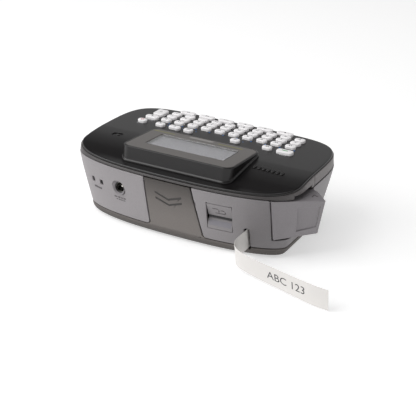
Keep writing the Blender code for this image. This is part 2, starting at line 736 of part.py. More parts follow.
# x, y and z of the tape's middle line, and how far its top edge leans away from the rear, in degrees
TAPE_ROUTE = [(TAPE_X, 12.0, TAPE_MIDDLE_Z, 0), (TAPE_X, 34.0, TAPE_MIDDLE_Z, 0),
              (TAPE_X, 52.0, TAPE_MIDDLE_Z, 0), (TAPE_X + 0.3, 60.0, 16.2, 0), (-65.6, 68.0, 15.6, 2),
              (-67.4, 74.5, 15.0, 6), (-72.0, 79.2, 14.2, 11), (-80.0, 82.2, 13.2, 14),
              (-92.0, 84.8, 12.0, 14), (-108.0, 87.8, 11.0, 9), (-124.0, 91.4, 10.3, 1),
              (-140.0, 95.0, 9.9, -8), (-153.6, 96.4, 9.7, -14)]


def make_label_tape():
    """Printed label: a strip that leaves the slot on edge, curls round and ends free."""
    stations = smooth_path(TAPE_ROUTE, 4)
    sections = []
    for i, (x, y, z, lean) in enumerate(stations):
        before, after = stations[max(0, i - 1)], stations[min(len(stations) - 1, i + 1)]
        along = Vector((after[0] - before[0], after[1] - before[1], 0)).normalized()
        side = Vector((along.y, -along.x, 0))
        tilt = math.radians(lean)
        up = Vector((0, 0, math.cos(tilt))) - side * -math.sin(tilt)
        across = side * math.cos(tilt) - Vector((0, 0, math.sin(tilt)))
        middle = Vector((x, y, z))
        sections.append([middle + up * (TAPE_WIDTH / 2 * a) + across * (TAPE_THICKNESS / 2 * b)
                         for a, b in ((-1, -1), (-1, 1), (1, 1), (1, -1))])
    return into_scene("label_tape", loft_bm(sections), TAPE_WHITE)


def make_cassette():
    """Tape cassette with the label spool and the ribbon take-up spool inside it."""
    shell = into_scene("cassette_shell", box_bm((-74, -42, 5.2), (-34, 17, 28.6)), CASSETTE)
    subtract(shell, "cassette_inside", box_bm((-72.6, -40.6, 6.6), (-35.4, 15.6, 27.2)))
    subtract(shell, "cassette_mouth", box_bm((-69, 13, 7), (-63, 24, 26)))
    for name, centre, radius in (("tape_spool", TAPE_SPOOL, 16.5), ("ribbon_spool", RIBBON_SPOOL, 8.0)):
        spool = into_scene(name, cylinder_bm(radius, 7.2, 25.8, centre, 24), SPOOL, origin=(*centre, 7.2))
        hub = cylinder_bm(3.2, 5, 30, centre, 6)
        subtract(spool, name + "_hub", hub)


TAPE_SPOOL = (-54.6, -22.0)
RIBBON_SPOOL = (-50.0, 5.0)


def make_tape_drive():
    """Platen, print head, gear train and motor."""
    platen = (TAPE_X - TAPE_THICKNESS / 2 - GAP - PLATEN_R, PLATEN_Y)
    roller = into_scene("platen_roller", cylinder_bm(PLATEN_R, 7.5, 28.6, platen, 20), RUBBER,
                        origin=(*platen, 7.5))
    unite(roller, "platen_shaft", cylinder_bm(SHAFT_R, 6.0, 36.0, platen, 16))
    idler = polar(platen, GEAR_MODULE * (PLATEN_TEETH + IDLER_TEETH) / 2, IDLER_BEARING)
    motor = polar(idler, GEAR_MODULE * (IDLER_TEETH + PINION_TEETH) / 2, PINION_BEARING)
    gear("platen_gear", PLATEN_TEETH, platen, IDLER_BEARING, SHAFT_R + GAP)
    idler_turn = IDLER_BEARING + 180 + 180 / IDLER_TEETH
    gear("idler_gear", IDLER_TEETH, idler, idler_turn, 2.0 + GAP)
    # The pinion's tooth gap faces the idler's tooth that lies nearest the line of centres.
    step = 360 / IDLER_TEETH
    off_line = (PINION_BEARING - idler_turn) % step
    share = off_line / step
    pinion_turn = PINION_BEARING + 180 + (0.5 + share) * 360 / PINION_TEETH
    gear("motor_pinion", PINION_TEETH, motor, pinion_turn, 1.0 + GAP)
    can = into_scene("feed_motor", cylinder_bm(8.5, 36.5, 53.0, motor, 24), STEEL)
    unite(can, "motor_shaft", cylinder_bm(1.0, 31.8, 40.0, motor, 12))
    head_x = TAPE_X + TAPE_THICKNESS / 2 + GAP
    into_scene("print_head", box_bm((head_x, PLATEN_Y - 5, 7.0), (head_x + 2.4, PLATEN_Y + 5, 28.8)), BRASS)
    plate = into_scene("chassis_plate", prism_bm(plan(taper(CHASSIS_Z[0]) + WALL + GAP), *CHASSIS_Z), STEEL)
    corners = ((-110, 4), (-84, 6), (-73.5, 41), (-60, 41), (-60, 70), (-110, 70))
    clear = loft_bm([[(x, y, z) for x, y in corners]
                     for z in (20, 40)])
    join(clear, box_bm((-23.5, 50, 20), (23.5, 70, 40)))
    join(clear, box_bm((-57, 47, 20), (-31, 70, 40)))
    join(clear, box_bm((38, 40, 20), (60, 70, 40)))
    join(clear, cylinder_bm(SHAFT_R + GAP, 20, 40, platen, 16))
    join(clear, cylinder_bm(1.0 + GAP, 20, 40, motor, 12))
    for spot in SCREW_SPOTS:
        join(clear, cylinder_bm(SCREW_R + GAP, 20, 60, spot, 12))
    posts = bmesh.new()
    for spot in SCREW_SPOTS:
        join(posts, cylinder_bm(POST_R, CHASSIS_Z[1] - 0.4, 44, spot, 16))
    join(posts, cylinder_bm(2.0, CHASSIS_Z[1] - 0.4, GEAR_Z[1] + 1, idler, 16))
    unite(plate, "chassis_posts", posts)
    subtract(plate, "chassis_clearances", clear)


SCREW_R, SCREW_HEAD_R, POST_R = 1.4, 3.0, 3.4
SCREW_SPOTS = [(74.0, -26.0), (74.0, 24.0), (-24.0, -34.0), (-24.0, 24.0)]


def make_screws():
    """Four screws that hold the chassis plate, heads down."""
    for index, spot in enumerate(SCREW_SPOTS, 1):
        head_top = CHASSIS_Z[0] - GAP
        rings = [[(spot[0] + r * math.cos(math.tau * k / 12), spot[1] + r * math.sin(math.tau * k / 12), z)
                  for k in range(12)]
                 for r, z in ((SCREW_HEAD_R - 0.5, head_top - 2.2), (SCREW_HEAD_R, head_top - 1.4),
                              (SCREW_HEAD_R, head_top), (SCREW_R, head_top), (SCREW_R, 43.0), (0.5, 43.8))]
        screw = into_scene(f"chassis_screw_{index}", loft_bm(rings), STEEL)
        low = head_top - 3
        cross = box_bm((spot[0] - 1.6, spot[1] - 0.3, low), (spot[0] + 1.6, spot[1] + 0.3, head_top - 1.2))
        subtract(screw, f"screw_slot_{index}", cross)


# ------------------------------------------------------------------ power and boards

def make_cells():
    """Six cells side by side with a contact strip at each end."""
    for index in range(CELL_COUNT):
        y = (index - (CELL_COUNT - 1) / 2) * CELL_PITCH - 0.5
        turned = index % 2 == 1
        rings = []
        shoulder = CELL_LENGTH - 1.6
        for r, along in ((CELL_R, 0), (CELL_R, shoulder), (2.7, shoulder), (2.7, CELL_LENGTH)):
            x = CELL_LEFT_X + (CELL_LENGTH - along if turned else along)
            rings.append([(x, y + r * math.cos(math.tau * k / 16), CELL_Z + r * math.sin(math.tau * k / 16))
                          for k in range(16)])
        into_scene(f"cell_{index + 1}", loft_bm(rings), CELL_JACKET)
    half = CELL_PITCH * CELL_COUNT / 2 - 3
    for word, x in (("left", CELL_LEFT_X - 1.6), ("right", CELL_LEFT_X + CELL_LENGTH + 0.8)):
        into_scene(f"cell_contacts_{word}", box_bm((x, -half, 7.0), (x + 0.8, half - 1, 17.5)), BRASS)


def make_main_board():
    """Main circuit board, with its chips, above the cells."""
    board = into_scene("main_board", box_bm((-14, -36, 46.0), (66, 20, 47.6)), BOARD_GREEN)
    chips = box_bm((10, -18, 47.2), (30, 2, 49.6))
    join(chips, box_bm((40, -26, 47.2), (54, -14, 50.6)))
    join(chips, box_bm((-6, -28, 47.2), (4, -10, 49.2)))
    unite(board, "chips", chips)


def make_feet():
    """Four rubber pads under the cover."""
    for index, (x, y) in enumerate(((68, -30), (-68, -30), (62, 34), (-62, 34)), 1):
        pad = cylinder_bm(4.6, 0.0, COVER_UNDERSIDE - GAP, (x, y), 16, 4.9)
        into_scene(f"rubber_foot_{index}", pad, RUBBER)


def main():
    make_main_casing()
    make_bottom_cover()
    make_upper_frame()
    make_top_deck(make_keyboard())
    make_display()
    make_dc_jack()
    make_backing_peeler()
    make_cutter()
    make_label_tape()
    make_cassette()
    make_tape_drive()
    make_screws()
    make_cells()
    make_main_board()
    make_feet()
    print("label maker:", len(PARTS.objects), "pieces")


main()
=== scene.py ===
"""Looks of the label maker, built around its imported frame.

Shapes are modelled in millimetres and brought to metres as each piece is finished.
+X is the user's right, -Y the keyboard side nearest the user, +Y the rear and +Z up.
"""

import logging
import math
from collections.abc import Callable, Iterable, Sequence
from dataclasses import dataclass
from enum import Enum

import bmesh
import bpy
from bmesh.types import BMEdge, BMesh, BMVert
from bpy.types import Material, Node, NodeSocket, NodeTree, Object
from mathutils import Euler, Matrix, Vector


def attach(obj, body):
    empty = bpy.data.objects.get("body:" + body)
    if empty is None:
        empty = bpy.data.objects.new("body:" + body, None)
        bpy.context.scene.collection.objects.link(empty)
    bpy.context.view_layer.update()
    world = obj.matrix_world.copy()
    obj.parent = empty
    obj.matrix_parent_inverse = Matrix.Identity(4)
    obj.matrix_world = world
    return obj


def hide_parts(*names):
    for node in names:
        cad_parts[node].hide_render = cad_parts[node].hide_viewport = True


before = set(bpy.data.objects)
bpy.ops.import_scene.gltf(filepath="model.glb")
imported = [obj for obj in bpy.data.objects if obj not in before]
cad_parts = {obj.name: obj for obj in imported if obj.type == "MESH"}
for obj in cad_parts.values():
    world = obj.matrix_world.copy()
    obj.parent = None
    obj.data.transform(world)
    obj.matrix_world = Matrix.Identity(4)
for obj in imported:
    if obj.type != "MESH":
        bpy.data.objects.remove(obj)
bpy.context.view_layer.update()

MM = 0.001
GAP = 0.3
log = logging.getLogger("label_maker")

Level = float | Callable[[float], float]
Ring = list[Vector]
Plan = list[tuple[float, float]]


class Cut(Enum):
    """Boolean operations between two pieces."""

    REMOVE = "DIFFERENCE"
    ADD = "UNION"
    KEEP = "INTERSECT"


class Slot(Enum):
    """Material slots of the record."""

    CASING = "casing_grey"
    COVER = "cover_grey"
    FRAME = "frame_grey"
    DECK = "deck_charcoal"
    BEZEL = "bezel_brown"
    WINDOW = "window_clear"
    LCD = "lcd_grey"
    KEY = "key_white"
    MAT = "key_silicone"
    BLACK = "black_plastic"
    STEEL = "spring_steel"
    FOOT = "foot_rubber"
    TAPE = "tape_white"


# ------------------------------------------------------------------ mesh tools


def start_ring(bm: BMesh, points: Sequence[Vector]) -> list[BMVert]:
    """Lay a loop of edges through the points.

    Args:
        bm: The mesh that the loop is added to.
        points: Where each corner of the loop goes, in order.

    Returns:
        The loop's vertices, in the order of the points.
    """
    made = bmesh.ops.create_circle(bm, cap_ends=False, radius=1.0, segments=len(points))
    for vert, point in zip(made["verts"], points):
        vert.co = point
    return made["verts"]


def loop_edges(verts: Sequence[BMVert]) -> list[BMEdge]:
    """Return the edges between a loop's vertices, in the order of the loop."""
    chosen = set(verts)
    return list(dict.fromkeys(
        edge for vert in verts for edge in vert.link_edges if edge.other_vert(vert) in chosen))


def extend_ring(bm: BMesh, verts: Sequence[BMVert], points: Sequence[Vector]) -> list[BMVert]:
    """Extrude a loop of edges to new places.

    Args:
        bm: The mesh that holds the loop.
        verts: The loop's vertices, in order.
        points: Where each extruded vertex goes.

    Returns:
        The new loop's vertices, in the same order.
    """
    made = bmesh.ops.extrude_edge_only(bm, edges=loop_edges(verts))
    fresh = {item for item in made["geom"] if isinstance(item, BMVert)}
    ordered = []
    for vert, point in zip(verts, points):
        twin = next(e.other_vert(vert) for e in vert.link_edges if e.other_vert(vert) in fresh)
        twin.co = point
        ordered.append(twin)
    return ordered


def cap_ring(bm: BMesh, verts: Sequence[BMVert]) -> None:
    """Close a loop of edges with one flat face."""
    bmesh.ops.contextual_create(bm, geom=loop_edges(verts))


def skin(rings: Sequence[Sequence[Vector]], looped: bool = False) -> BMesh:
    """Draw a solid by extruding a loop through a series of rings.

    Args:
        rings: Loops with the same number of points.
        looped: True joins the last ring to the first, False caps both ends.

    Returns:
        A closed mesh in millimetres with its faces outwards.
    """
    bm = bmesh.new()
    first = verts = start_ring(bm, rings[0])
    for ring in rings[1:]:
        verts = extend_ring(bm, verts, ring)
    if looped:
        extend_ring(bm, verts, rings[0])
        bmesh.ops.remove_doubles(bm, verts=bm.verts[:], dist=1e-5)
    else:
        cap_ring(bm, first)
        cap_ring(bm, verts)
    bmesh.ops.recalc_face_normals(bm, faces=bm.faces[:])
    return bm


def box(low: Sequence[float], high: Sequence[float]) -> BMesh:
    """Make a block between two corners."""
    bm = bmesh.new()
    bmesh.ops.create_cube(bm, size=1.0)
    bmesh.ops.scale(bm, verts=bm.verts[:], vec=[b - a for a, b in zip(low, high)])
    bmesh.ops.translate(bm, verts=bm.verts[:], vec=[(a + b) / 2 for a, b in zip(low, high)])
    return bm


def rod(radius: float, low: float, high: float, sides: int = 48) -> BMesh:
    """Make a cylinder along Z between two heights."""
    bm = bmesh.new()
    bmesh.ops.create_cone(bm, cap_ends=True, segments=sides, radius1=radius, radius2=radius, depth=high - low)
    bmesh.ops.translate(bm, verts=bm.verts[:], vec=(0, 0, (low + high) / 2))
    return bm


def turned(profile: Sequence[tuple[float, float]], steps: int = 48) -> BMesh:
    """Spin a profile of (radius, height) points about Z into a closed solid."""
    bm = bmesh.new()
    verts = [bm.verts.new((radius, 0, height)) for radius, height in profile]
    edges = [bm.edges.new(pair) for pair in zip(verts, verts[1:])]
    bmesh.ops.spin(
        bm, geom=verts + edges, cent=(0, 0, 0), axis=(0, 0, 1), dvec=(0, 0, 0),
        angle=math.tau, steps=steps, use_merge=True, use_duplicate=False)
    bmesh.ops.remove_doubles(bm, verts=bm.verts[:], dist=1e-4)
    bmesh.ops.recalc_face_normals(bm, faces=bm.faces[:])
    return bm


def placed(bm: BMesh, matrix: Matrix) -> BMesh:
    """Move a mesh by a matrix."""
    bmesh.ops.transform(bm, matrix=matrix, verts=bm.verts[:])
    return bm


def gathered(parts: Iterable[BMesh]) -> BMesh:
    """Put several meshes into one, freeing them."""
    whole = bmesh.new()
    for part in parts:
        scratch = bpy.data.meshes.new("scratch")
        part.to_mesh(scratch)
        part.free()
        whole.from_mesh(scratch)
        bpy.data.meshes.remove(scratch)
    return whole


def rounded_plan(centre: Sequence[float], size: Sequence[float], radius: float, steps: int = 5) -> Plan:
    """Return a corner-rounded rectangle, anticlockwise.

    Args:
        centre: Its middle.
        size: Its width and depth.
        radius: Its corner radius.
        steps: Segments in each corner.

    Returns:
        Plan points.
    """
    half_x, half_y = size[0] / 2, size[1] / 2
    radius = max(0.01, min(radius, half_x - 0.01, half_y - 0.01))
    points = []
    for corner, (sx, sy) in enumerate(((1, 1), (-1, 1), (-1, -1), (1, -1))):
        for step in range(steps + 1):
            angle = math.radians(90 * corner + 90 * step / steps)
            points.append((centre[0] + sx * (half_x - radius) + radius * math.cos(angle),
                           centre[1] + sy * (half_y - radius) + radius * math.sin(angle)))
    return points


def at_level(plan: Plan, level: Level) -> Ring:
    """Lift a plan to a height, which may be a function of y."""
    return [Vector((x, y, level(y) if callable(level) else level)) for x, y in plan]


def prism(plan: Plan, low: Level, high: Level) -> BMesh:
    """Extrude a plan between two levels."""
    return skin([at_level(plan, low), at_level(plan, high)])


def extruded(outline: Plan, low: float, high: float) -> BMesh:
    """Extrude an outline in X and Z along Y."""
    return skin([[Vector((x, y, z)) for x, z in outline] for y in (low, high)])


def shrinking(
    centre: Sequence[float], size: Sequence[float], radius: float, steps: int,
) -> Callable[[float], Plan]:
    """Return what gives a rounded rectangle moved inwards by a distance."""
    return lambda inset: rounded_plan(
        centre, (size[0] - 2 * inset, size[1] - 2 * inset), radius - inset, steps)


def shifted(x: float, y: float, z: float = 0.0, turn: float = 0.0) -> Matrix:
    """Return a matrix that turns by degrees about Z and then moves."""
    return Matrix.Translation((x, y, z)) @ Matrix.Rotation(math.radians(turn), 4, "Z")


def lowered(level: Level, drop: float) -> Level:
    """Return a level that lies drop below another."""
    if callable(level):
        return lambda y: level(y) - drop
    return level - drop


def soft_prism(
    plan_at: Callable[[float], Plan], low: Level, high: Level,
    low_round: float = 0.0, high_round: float = 0.5, steps: int = 4,
) -> BMesh:
    """Extrude a plan with its rims rounded over.

    Args:
        plan_at: Gives the plan moved inwards by a distance.
        low: Level of the underside.
        high: Level of the top, flat or evenly sloped.
        low_round: Radius of the lower rim.
        high_round: Radius of the upper rim.
        steps: Segments in each rim.

    Returns:
        A closed mesh.
    """
    rings = []
    if low_round:
        for step in range(steps, 0, -1):
            angle = math.pi / 2 * step / steps
            rings.append(at_level(plan_at(low_round * (1 - math.cos(angle))),
                                  lowered(low, -low_round * (1 - math.sin(angle)))))
    rings.append(at_level(plan_at(0.0), lowered(low, -low_round)))
    rings.append(at_level(plan_at(0.0), lowered(high, high_round)))
    if high_round:
        for step in range(1, steps + 1):
            angle = math.pi / 2 * step / steps
            rings.append(at_level(plan_at(high_round * (1 - math.cos(angle))),
                                  lowered(high, high_round * (1 - math.sin(angle)))))
    return skin(rings)


def lettering(body: str, size: float, depth: float, resolution: int, align: str) -> BMesh:
    """Make letters that lie on the XY plane.

    Args:
        body: The letters.
        size: Their size in millimetres.
        depth: Half their thickness in millimetres.
        resolution: Segments in each curve.
        align: Which end of the line stands at the origin.

    Returns:
        A mesh in millimetres.
    """
    text = bpy.data.curves.new("letters", "FONT")
    text.body, text.size, text.extrude = body, size * MM, depth * MM
    text.resolution_u, text.align_x, text.align_y = resolution, align, "CENTER"
    holder = bpy.data.objects.new("letters", text)
    bpy.context.scene.collection.objects.link(holder)
    graph = bpy.context.evaluated_depsgraph_get()
    mesh = bpy.data.meshes.new_from_object(holder.evaluated_get(graph))
    bm = bmesh.new()
    bm.from_mesh(mesh)
    bpy.data.objects.remove(holder)
    bpy.data.meshes.remove(mesh)
    bpy.data.curves.remove(text)
    bmesh.ops.remove_doubles(bm, verts=bm.verts[:], dist=1e-7)
    bmesh.ops.scale(bm, verts=bm.verts[:], vec=(1000, 1000, 1000))
    return bm


def as_object(name: str, bm: BMesh) -> Object:
    """Turn a mesh in millimetres into an object in metres at the origin."""
    bmesh.ops.scale(bm, verts=bm.verts[:], vec=(MM, MM, MM))
    mesh = bpy.data.meshes.new(name)
    bm.to_mesh(mesh)
    bm.free()
    made = bpy.data.objects.new(name, mesh)
    bpy.context.scene.collection.objects.link(made)
    return made


def settle(piece: Object) -> Object:
    """Apply a piece's modifiers to its mesh."""
    graph = bpy.context.evaluated_depsgraph_get()
    mesh = bpy.data.meshes.new_from_object(piece.evaluated_get(graph))
    old = piece.data
    piece.modifiers.clear()
    piece.data = mesh
    bpy.data.meshes.remove(old)
    return piece


def carve(piece: Object, tool: BMesh | Object, how: Cut = Cut.REMOVE) -> Object:
    """Combine a piece with a tool by an exact Boolean.

    Args:
        piece: The piece that changes.
        tool: A closed mesh in millimetres, or an object, which is used up.
        how: What is done.

    Returns:
        The piece.
    """
    cutter = tool if isinstance(tool, Object) else as_object("cutter", tool)
    modifier = piece.modifiers.new("carve", "BOOLEAN")
    modifier.operation = how.value
    modifier.solver = "EXACT"
    modifier.object = cutter
    settle(piece)
    if not piece.data.polygons:
        raise ValueError(f"{piece.name} is empty after a cut")
    mesh = cutter.data
    bpy.data.objects.remove(cutter)
    bpy.data.meshes.remove(mesh)
    return piece


def soften(piece: Object, width: float, segments: int = 2, limit: float = 40.0) -> None:
    """Round the sharp edges of a piece.

    Args:
        piece: The piece.
        width: How wide the rounding is, in millimetres.
        segments: Its segments.
        limit: Edges sharper than this angle, in degrees, are rounded.
    """
    bevel = piece.modifiers.new("soft_edges", "BEVEL")
    bevel.width = width * MM
    bevel.segments = segments
    bevel.limit_method = "ANGLE"
    bevel.angle_limit = math.radians(limit)
    bevel.use_clamp_overlap = False
    bevel.harden_normals = False
    bevel.miter_outer = "MITER_ARC"


def deliver(
    piece: Object, body: str, material: Material,
    replaces: Iterable[str] = (), sharp: float = 35.0,
) -> Object:
    """Shade, dress and attach a finished piece.

    Args:
        piece: The piece, with its place in its mesh.
        body: The body that it moves with.
        material: Its finish.
        replaces: CAD nodes that it stands for.
        sharp: Edges over this angle, in degrees, stay crisp.

    Returns:
        The piece.
    """
    piece.data.materials.clear()
    piece.data.materials.append(material)
    piece.data.shade_smooth()
    piece.data.set_sharp_from_angle(angle=math.radians(sharp))
    weighted = piece.modifiers.new("even_shading", "WEIGHTED_NORMAL")
    weighted.keep_sharp = True
    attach(piece, body)
    names = list(replaces)
    if names:
        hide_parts(*names)
    log.info("%s: %d faces on %s", piece.name, len(piece.data.polygons), body)
    return piece


# ------------------------------------------------------------------ material tools


def linear(colour: str) -> tuple[float, float, float, float]:
    """Turn an sRGB hex colour into linear channels with full alpha."""
    channels = []
    for start in (0, 2, 4):
        value = int(colour[start:start + 2], 16) / 255
        channels.append(value / 12.92 if value <= 0.04045 else ((value + 0.055) / 1.055) ** 2.4)
    return (*channels, 1.0)


def add_node(tree: NodeTree, kind: str, settings: dict | None = None, **inputs) -> Node:
    """Add a node with its settings, values and links.

    Args:
        tree: The node tree.
        kind: The node's type.
        settings: Attributes of the node itself.
        inputs: Sockets by name, with spaces as underscores; a socket as a value is linked.

    Returns:
        The node.
    """
    made = tree.nodes.new(kind)
    for name, value in (settings or {}).items():
        setattr(made, name, value)
    for name, value in inputs.items():
        place = int(name[1:]) if name[0] == "_" else name.replace("_", " ")
        if isinstance(value, NodeSocket):
            tree.links.new(value, made.inputs[place])
        else:
            made.inputs[place].default_value = value
    return made


def per_metre(size_mm: float) -> float:
    """Texture scale at which one repeat is size_mm long."""
    return 1000.0 / size_mm


def calculated(
    tree: NodeTree, operation: str, first: NodeSocket, second: NodeSocket | float = 0.0,
) -> NodeSocket:
    """Add a sum of one or two values."""
    return add_node(tree, "ShaderNodeMath", {"operation": operation}, _0=first, _1=second).outputs[0]


@dataclass(frozen=True)
class Finish:
    """Base of every finish: a Principled shader with a colour that drifts a little.

    Attributes:
        name: The real material and how its surface was made.
        colour: sRGB hex colour.
        roughness: Mean roughness.
        metallic: 1 for bare metal.
        ior: Index of refraction.
        drift: Share by which the colour varies over the surface.
        drift_mm: Size of that variation.
        grain_mm: Spacing of the surface's grain.
        grain_depth: Depth of the grain in millimetres.
        coat: Strength of a clear coat.
        specular: How strongly the surface reflects, 0.5 being the plain dielectric.
    """

    name: str
    colour: str
    roughness: float = 0.5
    metallic: float = 0.0
    ior: float = 1.5
    drift: float = 0.05
    drift_mm: float = 35.0
    grain_mm: float = 0.7
    grain_depth: float = 0.012
    coat: float = 0.0
    specular: float = 0.5

    def make(self) -> Material:
        """Build the material."""
        made = bpy.data.materials.new(self.name)
        made.use_nodes = True
        tree = made.node_tree
        tree.nodes.clear()
        shader = add_node(tree, "ShaderNodeBsdfPrincipled", None, Metallic=self.metallic,
                          Coat_Weight=self.coat, Coat_Roughness=0.08)
        if not self.metallic:
            shader.inputs["IOR"].default_value = self.ior
            shader.inputs["Specular IOR Level"].default_value = self.specular
        add_node(tree, "ShaderNodeOutputMaterial", None, Surface=shader.outputs["BSDF"])
        place = add_node(tree, "ShaderNodeTexCoord").outputs["Object"]
        self.paint(tree, shader, place)
        made.diffuse_color = linear(self.colour)
        return made

    def paint(self, tree: NodeTree, shader: Node, place: NodeSocket) -> None:
        """Wire colour, roughness and relief into the shader."""
        colour = self.drifting(tree, place)
        tree.links.new(colour, shader.inputs["Base Color"])
        grain = self.grain(tree, place)
        rough = self.ranged(tree, grain, self.roughness - 0.05, self.roughness + 0.05)
        tree.links.new(rough, shader.inputs["Roughness"])
        tree.links.new(self.relief(tree, grain, self.grain_depth), shader.inputs["Normal"])

    def drifting(self, tree: NodeTree, place: NodeSocket) -> NodeSocket:
        """Vary the colour slowly over the surface, as in any moulded or printed sheet."""
        cloud = add_node(tree, "ShaderNodeTexNoise", None, Vector=place,
                         Scale=per_metre(self.drift_mm), Detail=3.0, Roughness=0.6)
        base = linear(self.colour)
        darker = [channel * (1 - self.drift) for channel in base[:3]] + [1.0]
        lighter = [min(1.0, channel * (1 + self.drift)) for channel in base[:3]] + [1.0]
        mix = add_node(tree, "ShaderNodeMix", {"data_type": "RGBA"}, _0=cloud.outputs["Fac"])
        mix.inputs[6].default_value = darker
        mix.inputs[7].default_value = lighter
        return mix.outputs[2]

    def grain(self, tree: NodeTree, place: NodeSocket) -> NodeSocket:
        """The surface's fine grain, from 0 to 1."""
        made = add_node(tree, "ShaderNodeTexNoise", None, Vector=place,
                        Scale=per_metre(self.grain_mm), Detail=2.0, Roughness=0.55)
        return made.outputs["Fac"]

    def toned(self, tree: NodeTree, colour: NodeSocket, tone: NodeSocket) -> NodeSocket:
        """Multiply a colour by a tone."""
        made = add_node(tree, "ShaderNodeVectorMath", {"operation": "SCALE"}, _0=colour, Scale=tone)
        return made.outputs["Vector"]

    def ranged(self, tree: NodeTree, value: NodeSocket, low: float, high: float) -> NodeSocket:
        """Map a 0 to 1 pattern to a range."""
        made = add_node(tree, "ShaderNodeMapRange", None, Value=value, To_Min=low, To_Max=high)
        return made.outputs["Result"]

    def relief(self, tree: NodeTree, height: NodeSocket, depth: float) -> NodeSocket:
        """Raise a pattern by a depth in millimetres."""
        made = add_node(tree, "ShaderNodeBump", None, Height=height, Distance=depth * MM, Strength=1.0)
        return made.outputs["Normal"]


@dataclass(frozen=True)
class MouldedPlastic(Finish):
    """ABS from a spark-eroded mould: an even, fine pebble and a soft sheen.

    Attributes:
        speckle: Share by which single pebbles differ in tone.
        painted_shade_axis: Axis along which painted shade changes the tone, or nothing.
        painted_shade_stops: Places along the axis, in millimetres, each with its share of the full colour;
            these shares paint shade into the tone.
    """

    speckle: float = 0.06
    painted_shade_axis: str = ""
    painted_shade_stops: tuple[tuple[float, float], ...] = ()

    def drifting(self, tree: NodeTree, place: NodeSocket) -> NodeSocket:
        """Add the pebbles' own tone to the slow drift."""
        slow = super().drifting(tree, place)
        # The real pebble is about 0.1 mm; it is drawn at 0.9 mm so that it still shows.
        pebble = add_node(tree, "ShaderNodeTexVoronoi", {"feature": "F1"}, Vector=place, Scale=per_metre(0.9))
        tone = self.ranged(tree, pebble.outputs["Distance"], 1 + self.speckle, 1 - self.speckle)
        # Painted shade: the tone is scaled by the listed shares along the chosen axis.
        if self.painted_shade_axis:
            along = add_node(tree, "ShaderNodeSeparateXYZ", None, Vector=place).outputs[self.painted_shade_axis]
            low, high = self.painted_shade_stops[0][0], self.painted_shade_stops[-1][0]
            share = add_node(tree, "ShaderNodeMapRange", None, Value=along,
                             From_Min=low * MM, From_Max=high * MM)
            ramp = add_node(tree, "ShaderNodeValToRGB", None, Fac=share.outputs["Result"])
            stops = ramp.color_ramp.elements
            for _ in self.painted_shade_stops[2:]:
                stops.new(0.5)
            for stop, (spot, shade) in zip(stops, self.painted_shade_stops):
                stop.position, stop.color = (spot - low) / (high - low), (shade, shade, shade, 1.0)
            tone = calculated(tree, "MULTIPLY", tone, ramp.outputs["Color"])
        return self.toned(tree, slow, tone)


@dataclass(frozen=True)
class BrushedMetal(Finish):
    """Rolled or ground metal: fine parallel scratches along one axis.

    Attributes:
        stretch: How the scratch pattern is stretched along X, Y and Z.
    """

    stretch: tuple[float, float, float] = (0.03, 1.0, 1.0)

    def grain(self, tree: NodeTree, place: NodeSocket) -> NodeSocket:
        """Scratches instead of pebbles."""
        turned_place = add_node(tree, "ShaderNodeMapping", None, Vector=place, Scale=self.stretch)
        made = add_node(tree, "ShaderNodeTexNoise", None, Vector=turned_place.outputs["Vector"],
                        Scale=per_metre(self.grain_mm), Detail=4.0, Roughness=0.6)
        return made.outputs["Fac"]


@dataclass(frozen=True)
class DisplayGlass(Finish):
    """Liquid-crystal glass: a faint grid of cells over a grey reflector.

    Attributes:
        cell_mm: Pitch of the cells.
        line_share: Share of each cell that its gap takes.
    """

    cell_mm: float = 1.6
    line_share: float = 0.12

    def drifting(self, tree: NodeTree, place: NodeSocket) -> NodeSocket:
        """Lay the darker gaps between the cells over the grey."""
        slow = super().drifting(tree, place)
        axes = add_node(tree, "ShaderNodeSeparateXYZ", None, Vector=place)
        lines = []
        for axis in ("X", "Y"):
            wave = calculated(tree, "MULTIPLY", axes.outputs[axis], per_metre(self.cell_mm))
            lines.append(calculated(tree, "LESS_THAN", calculated(tree, "FRACT", wave), self.line_share))
        tone = self.ranged(tree, calculated(tree, "MAXIMUM", *lines), 1.0, 0.94)
        return self.toned(tree, slow, tone)


@dataclass(frozen=True)
class ClearAcrylic(Finish):
    """Polished acrylic sheet, seen through with a faint reflection."""

    def paint(self, tree: NodeTree, shader: Node, place: NodeSocket) -> None:
        """Make the sheet clear, with faint wiping marks in its gloss."""
        shader.inputs["Base Color"].default_value = linear(self.colour)
        shader.inputs["Transmission Weight"].default_value = 1.0
        smear = add_node(tree, "ShaderNodeTexNoise", None, Vector=place, Scale=per_metre(18.0), Detail=3.0)
        rough = self.ranged(tree, smear.outputs["Fac"], self.roughness, self.roughness + 0.05)
        tree.links.new(rough, shader.inputs["Roughness"])


@dataclass(frozen=True)
class CircuitBoard(Finish):
    """Solder-masked glass-fibre board with copper tracks showing as paler lines.

    Attributes:
        track_width: Width of a track as a share of a cell.
    """

    track_width: float = 0.09

    def drifting(self, tree: NodeTree, place: NodeSocket) -> NodeSocket:
        """Draw tracks as the bounds of stepped cells."""
        slow = super().drifting(tree, place)
        cells = add_node(tree, "ShaderNodeTexVoronoi", {"feature": "F1", "distance": "CHEBYCHEV"},
                         Vector=place, Scale=per_metre(7.0))
        edge = calculated(tree, "PINGPONG", cells.outputs["Distance"], self.track_width)
        tone = self.ranged(tree, edge, 1.3, 0.8)
        tone.node.inputs["From Max"].default_value = self.track_width
        return self.toned(tree, slow, tone)


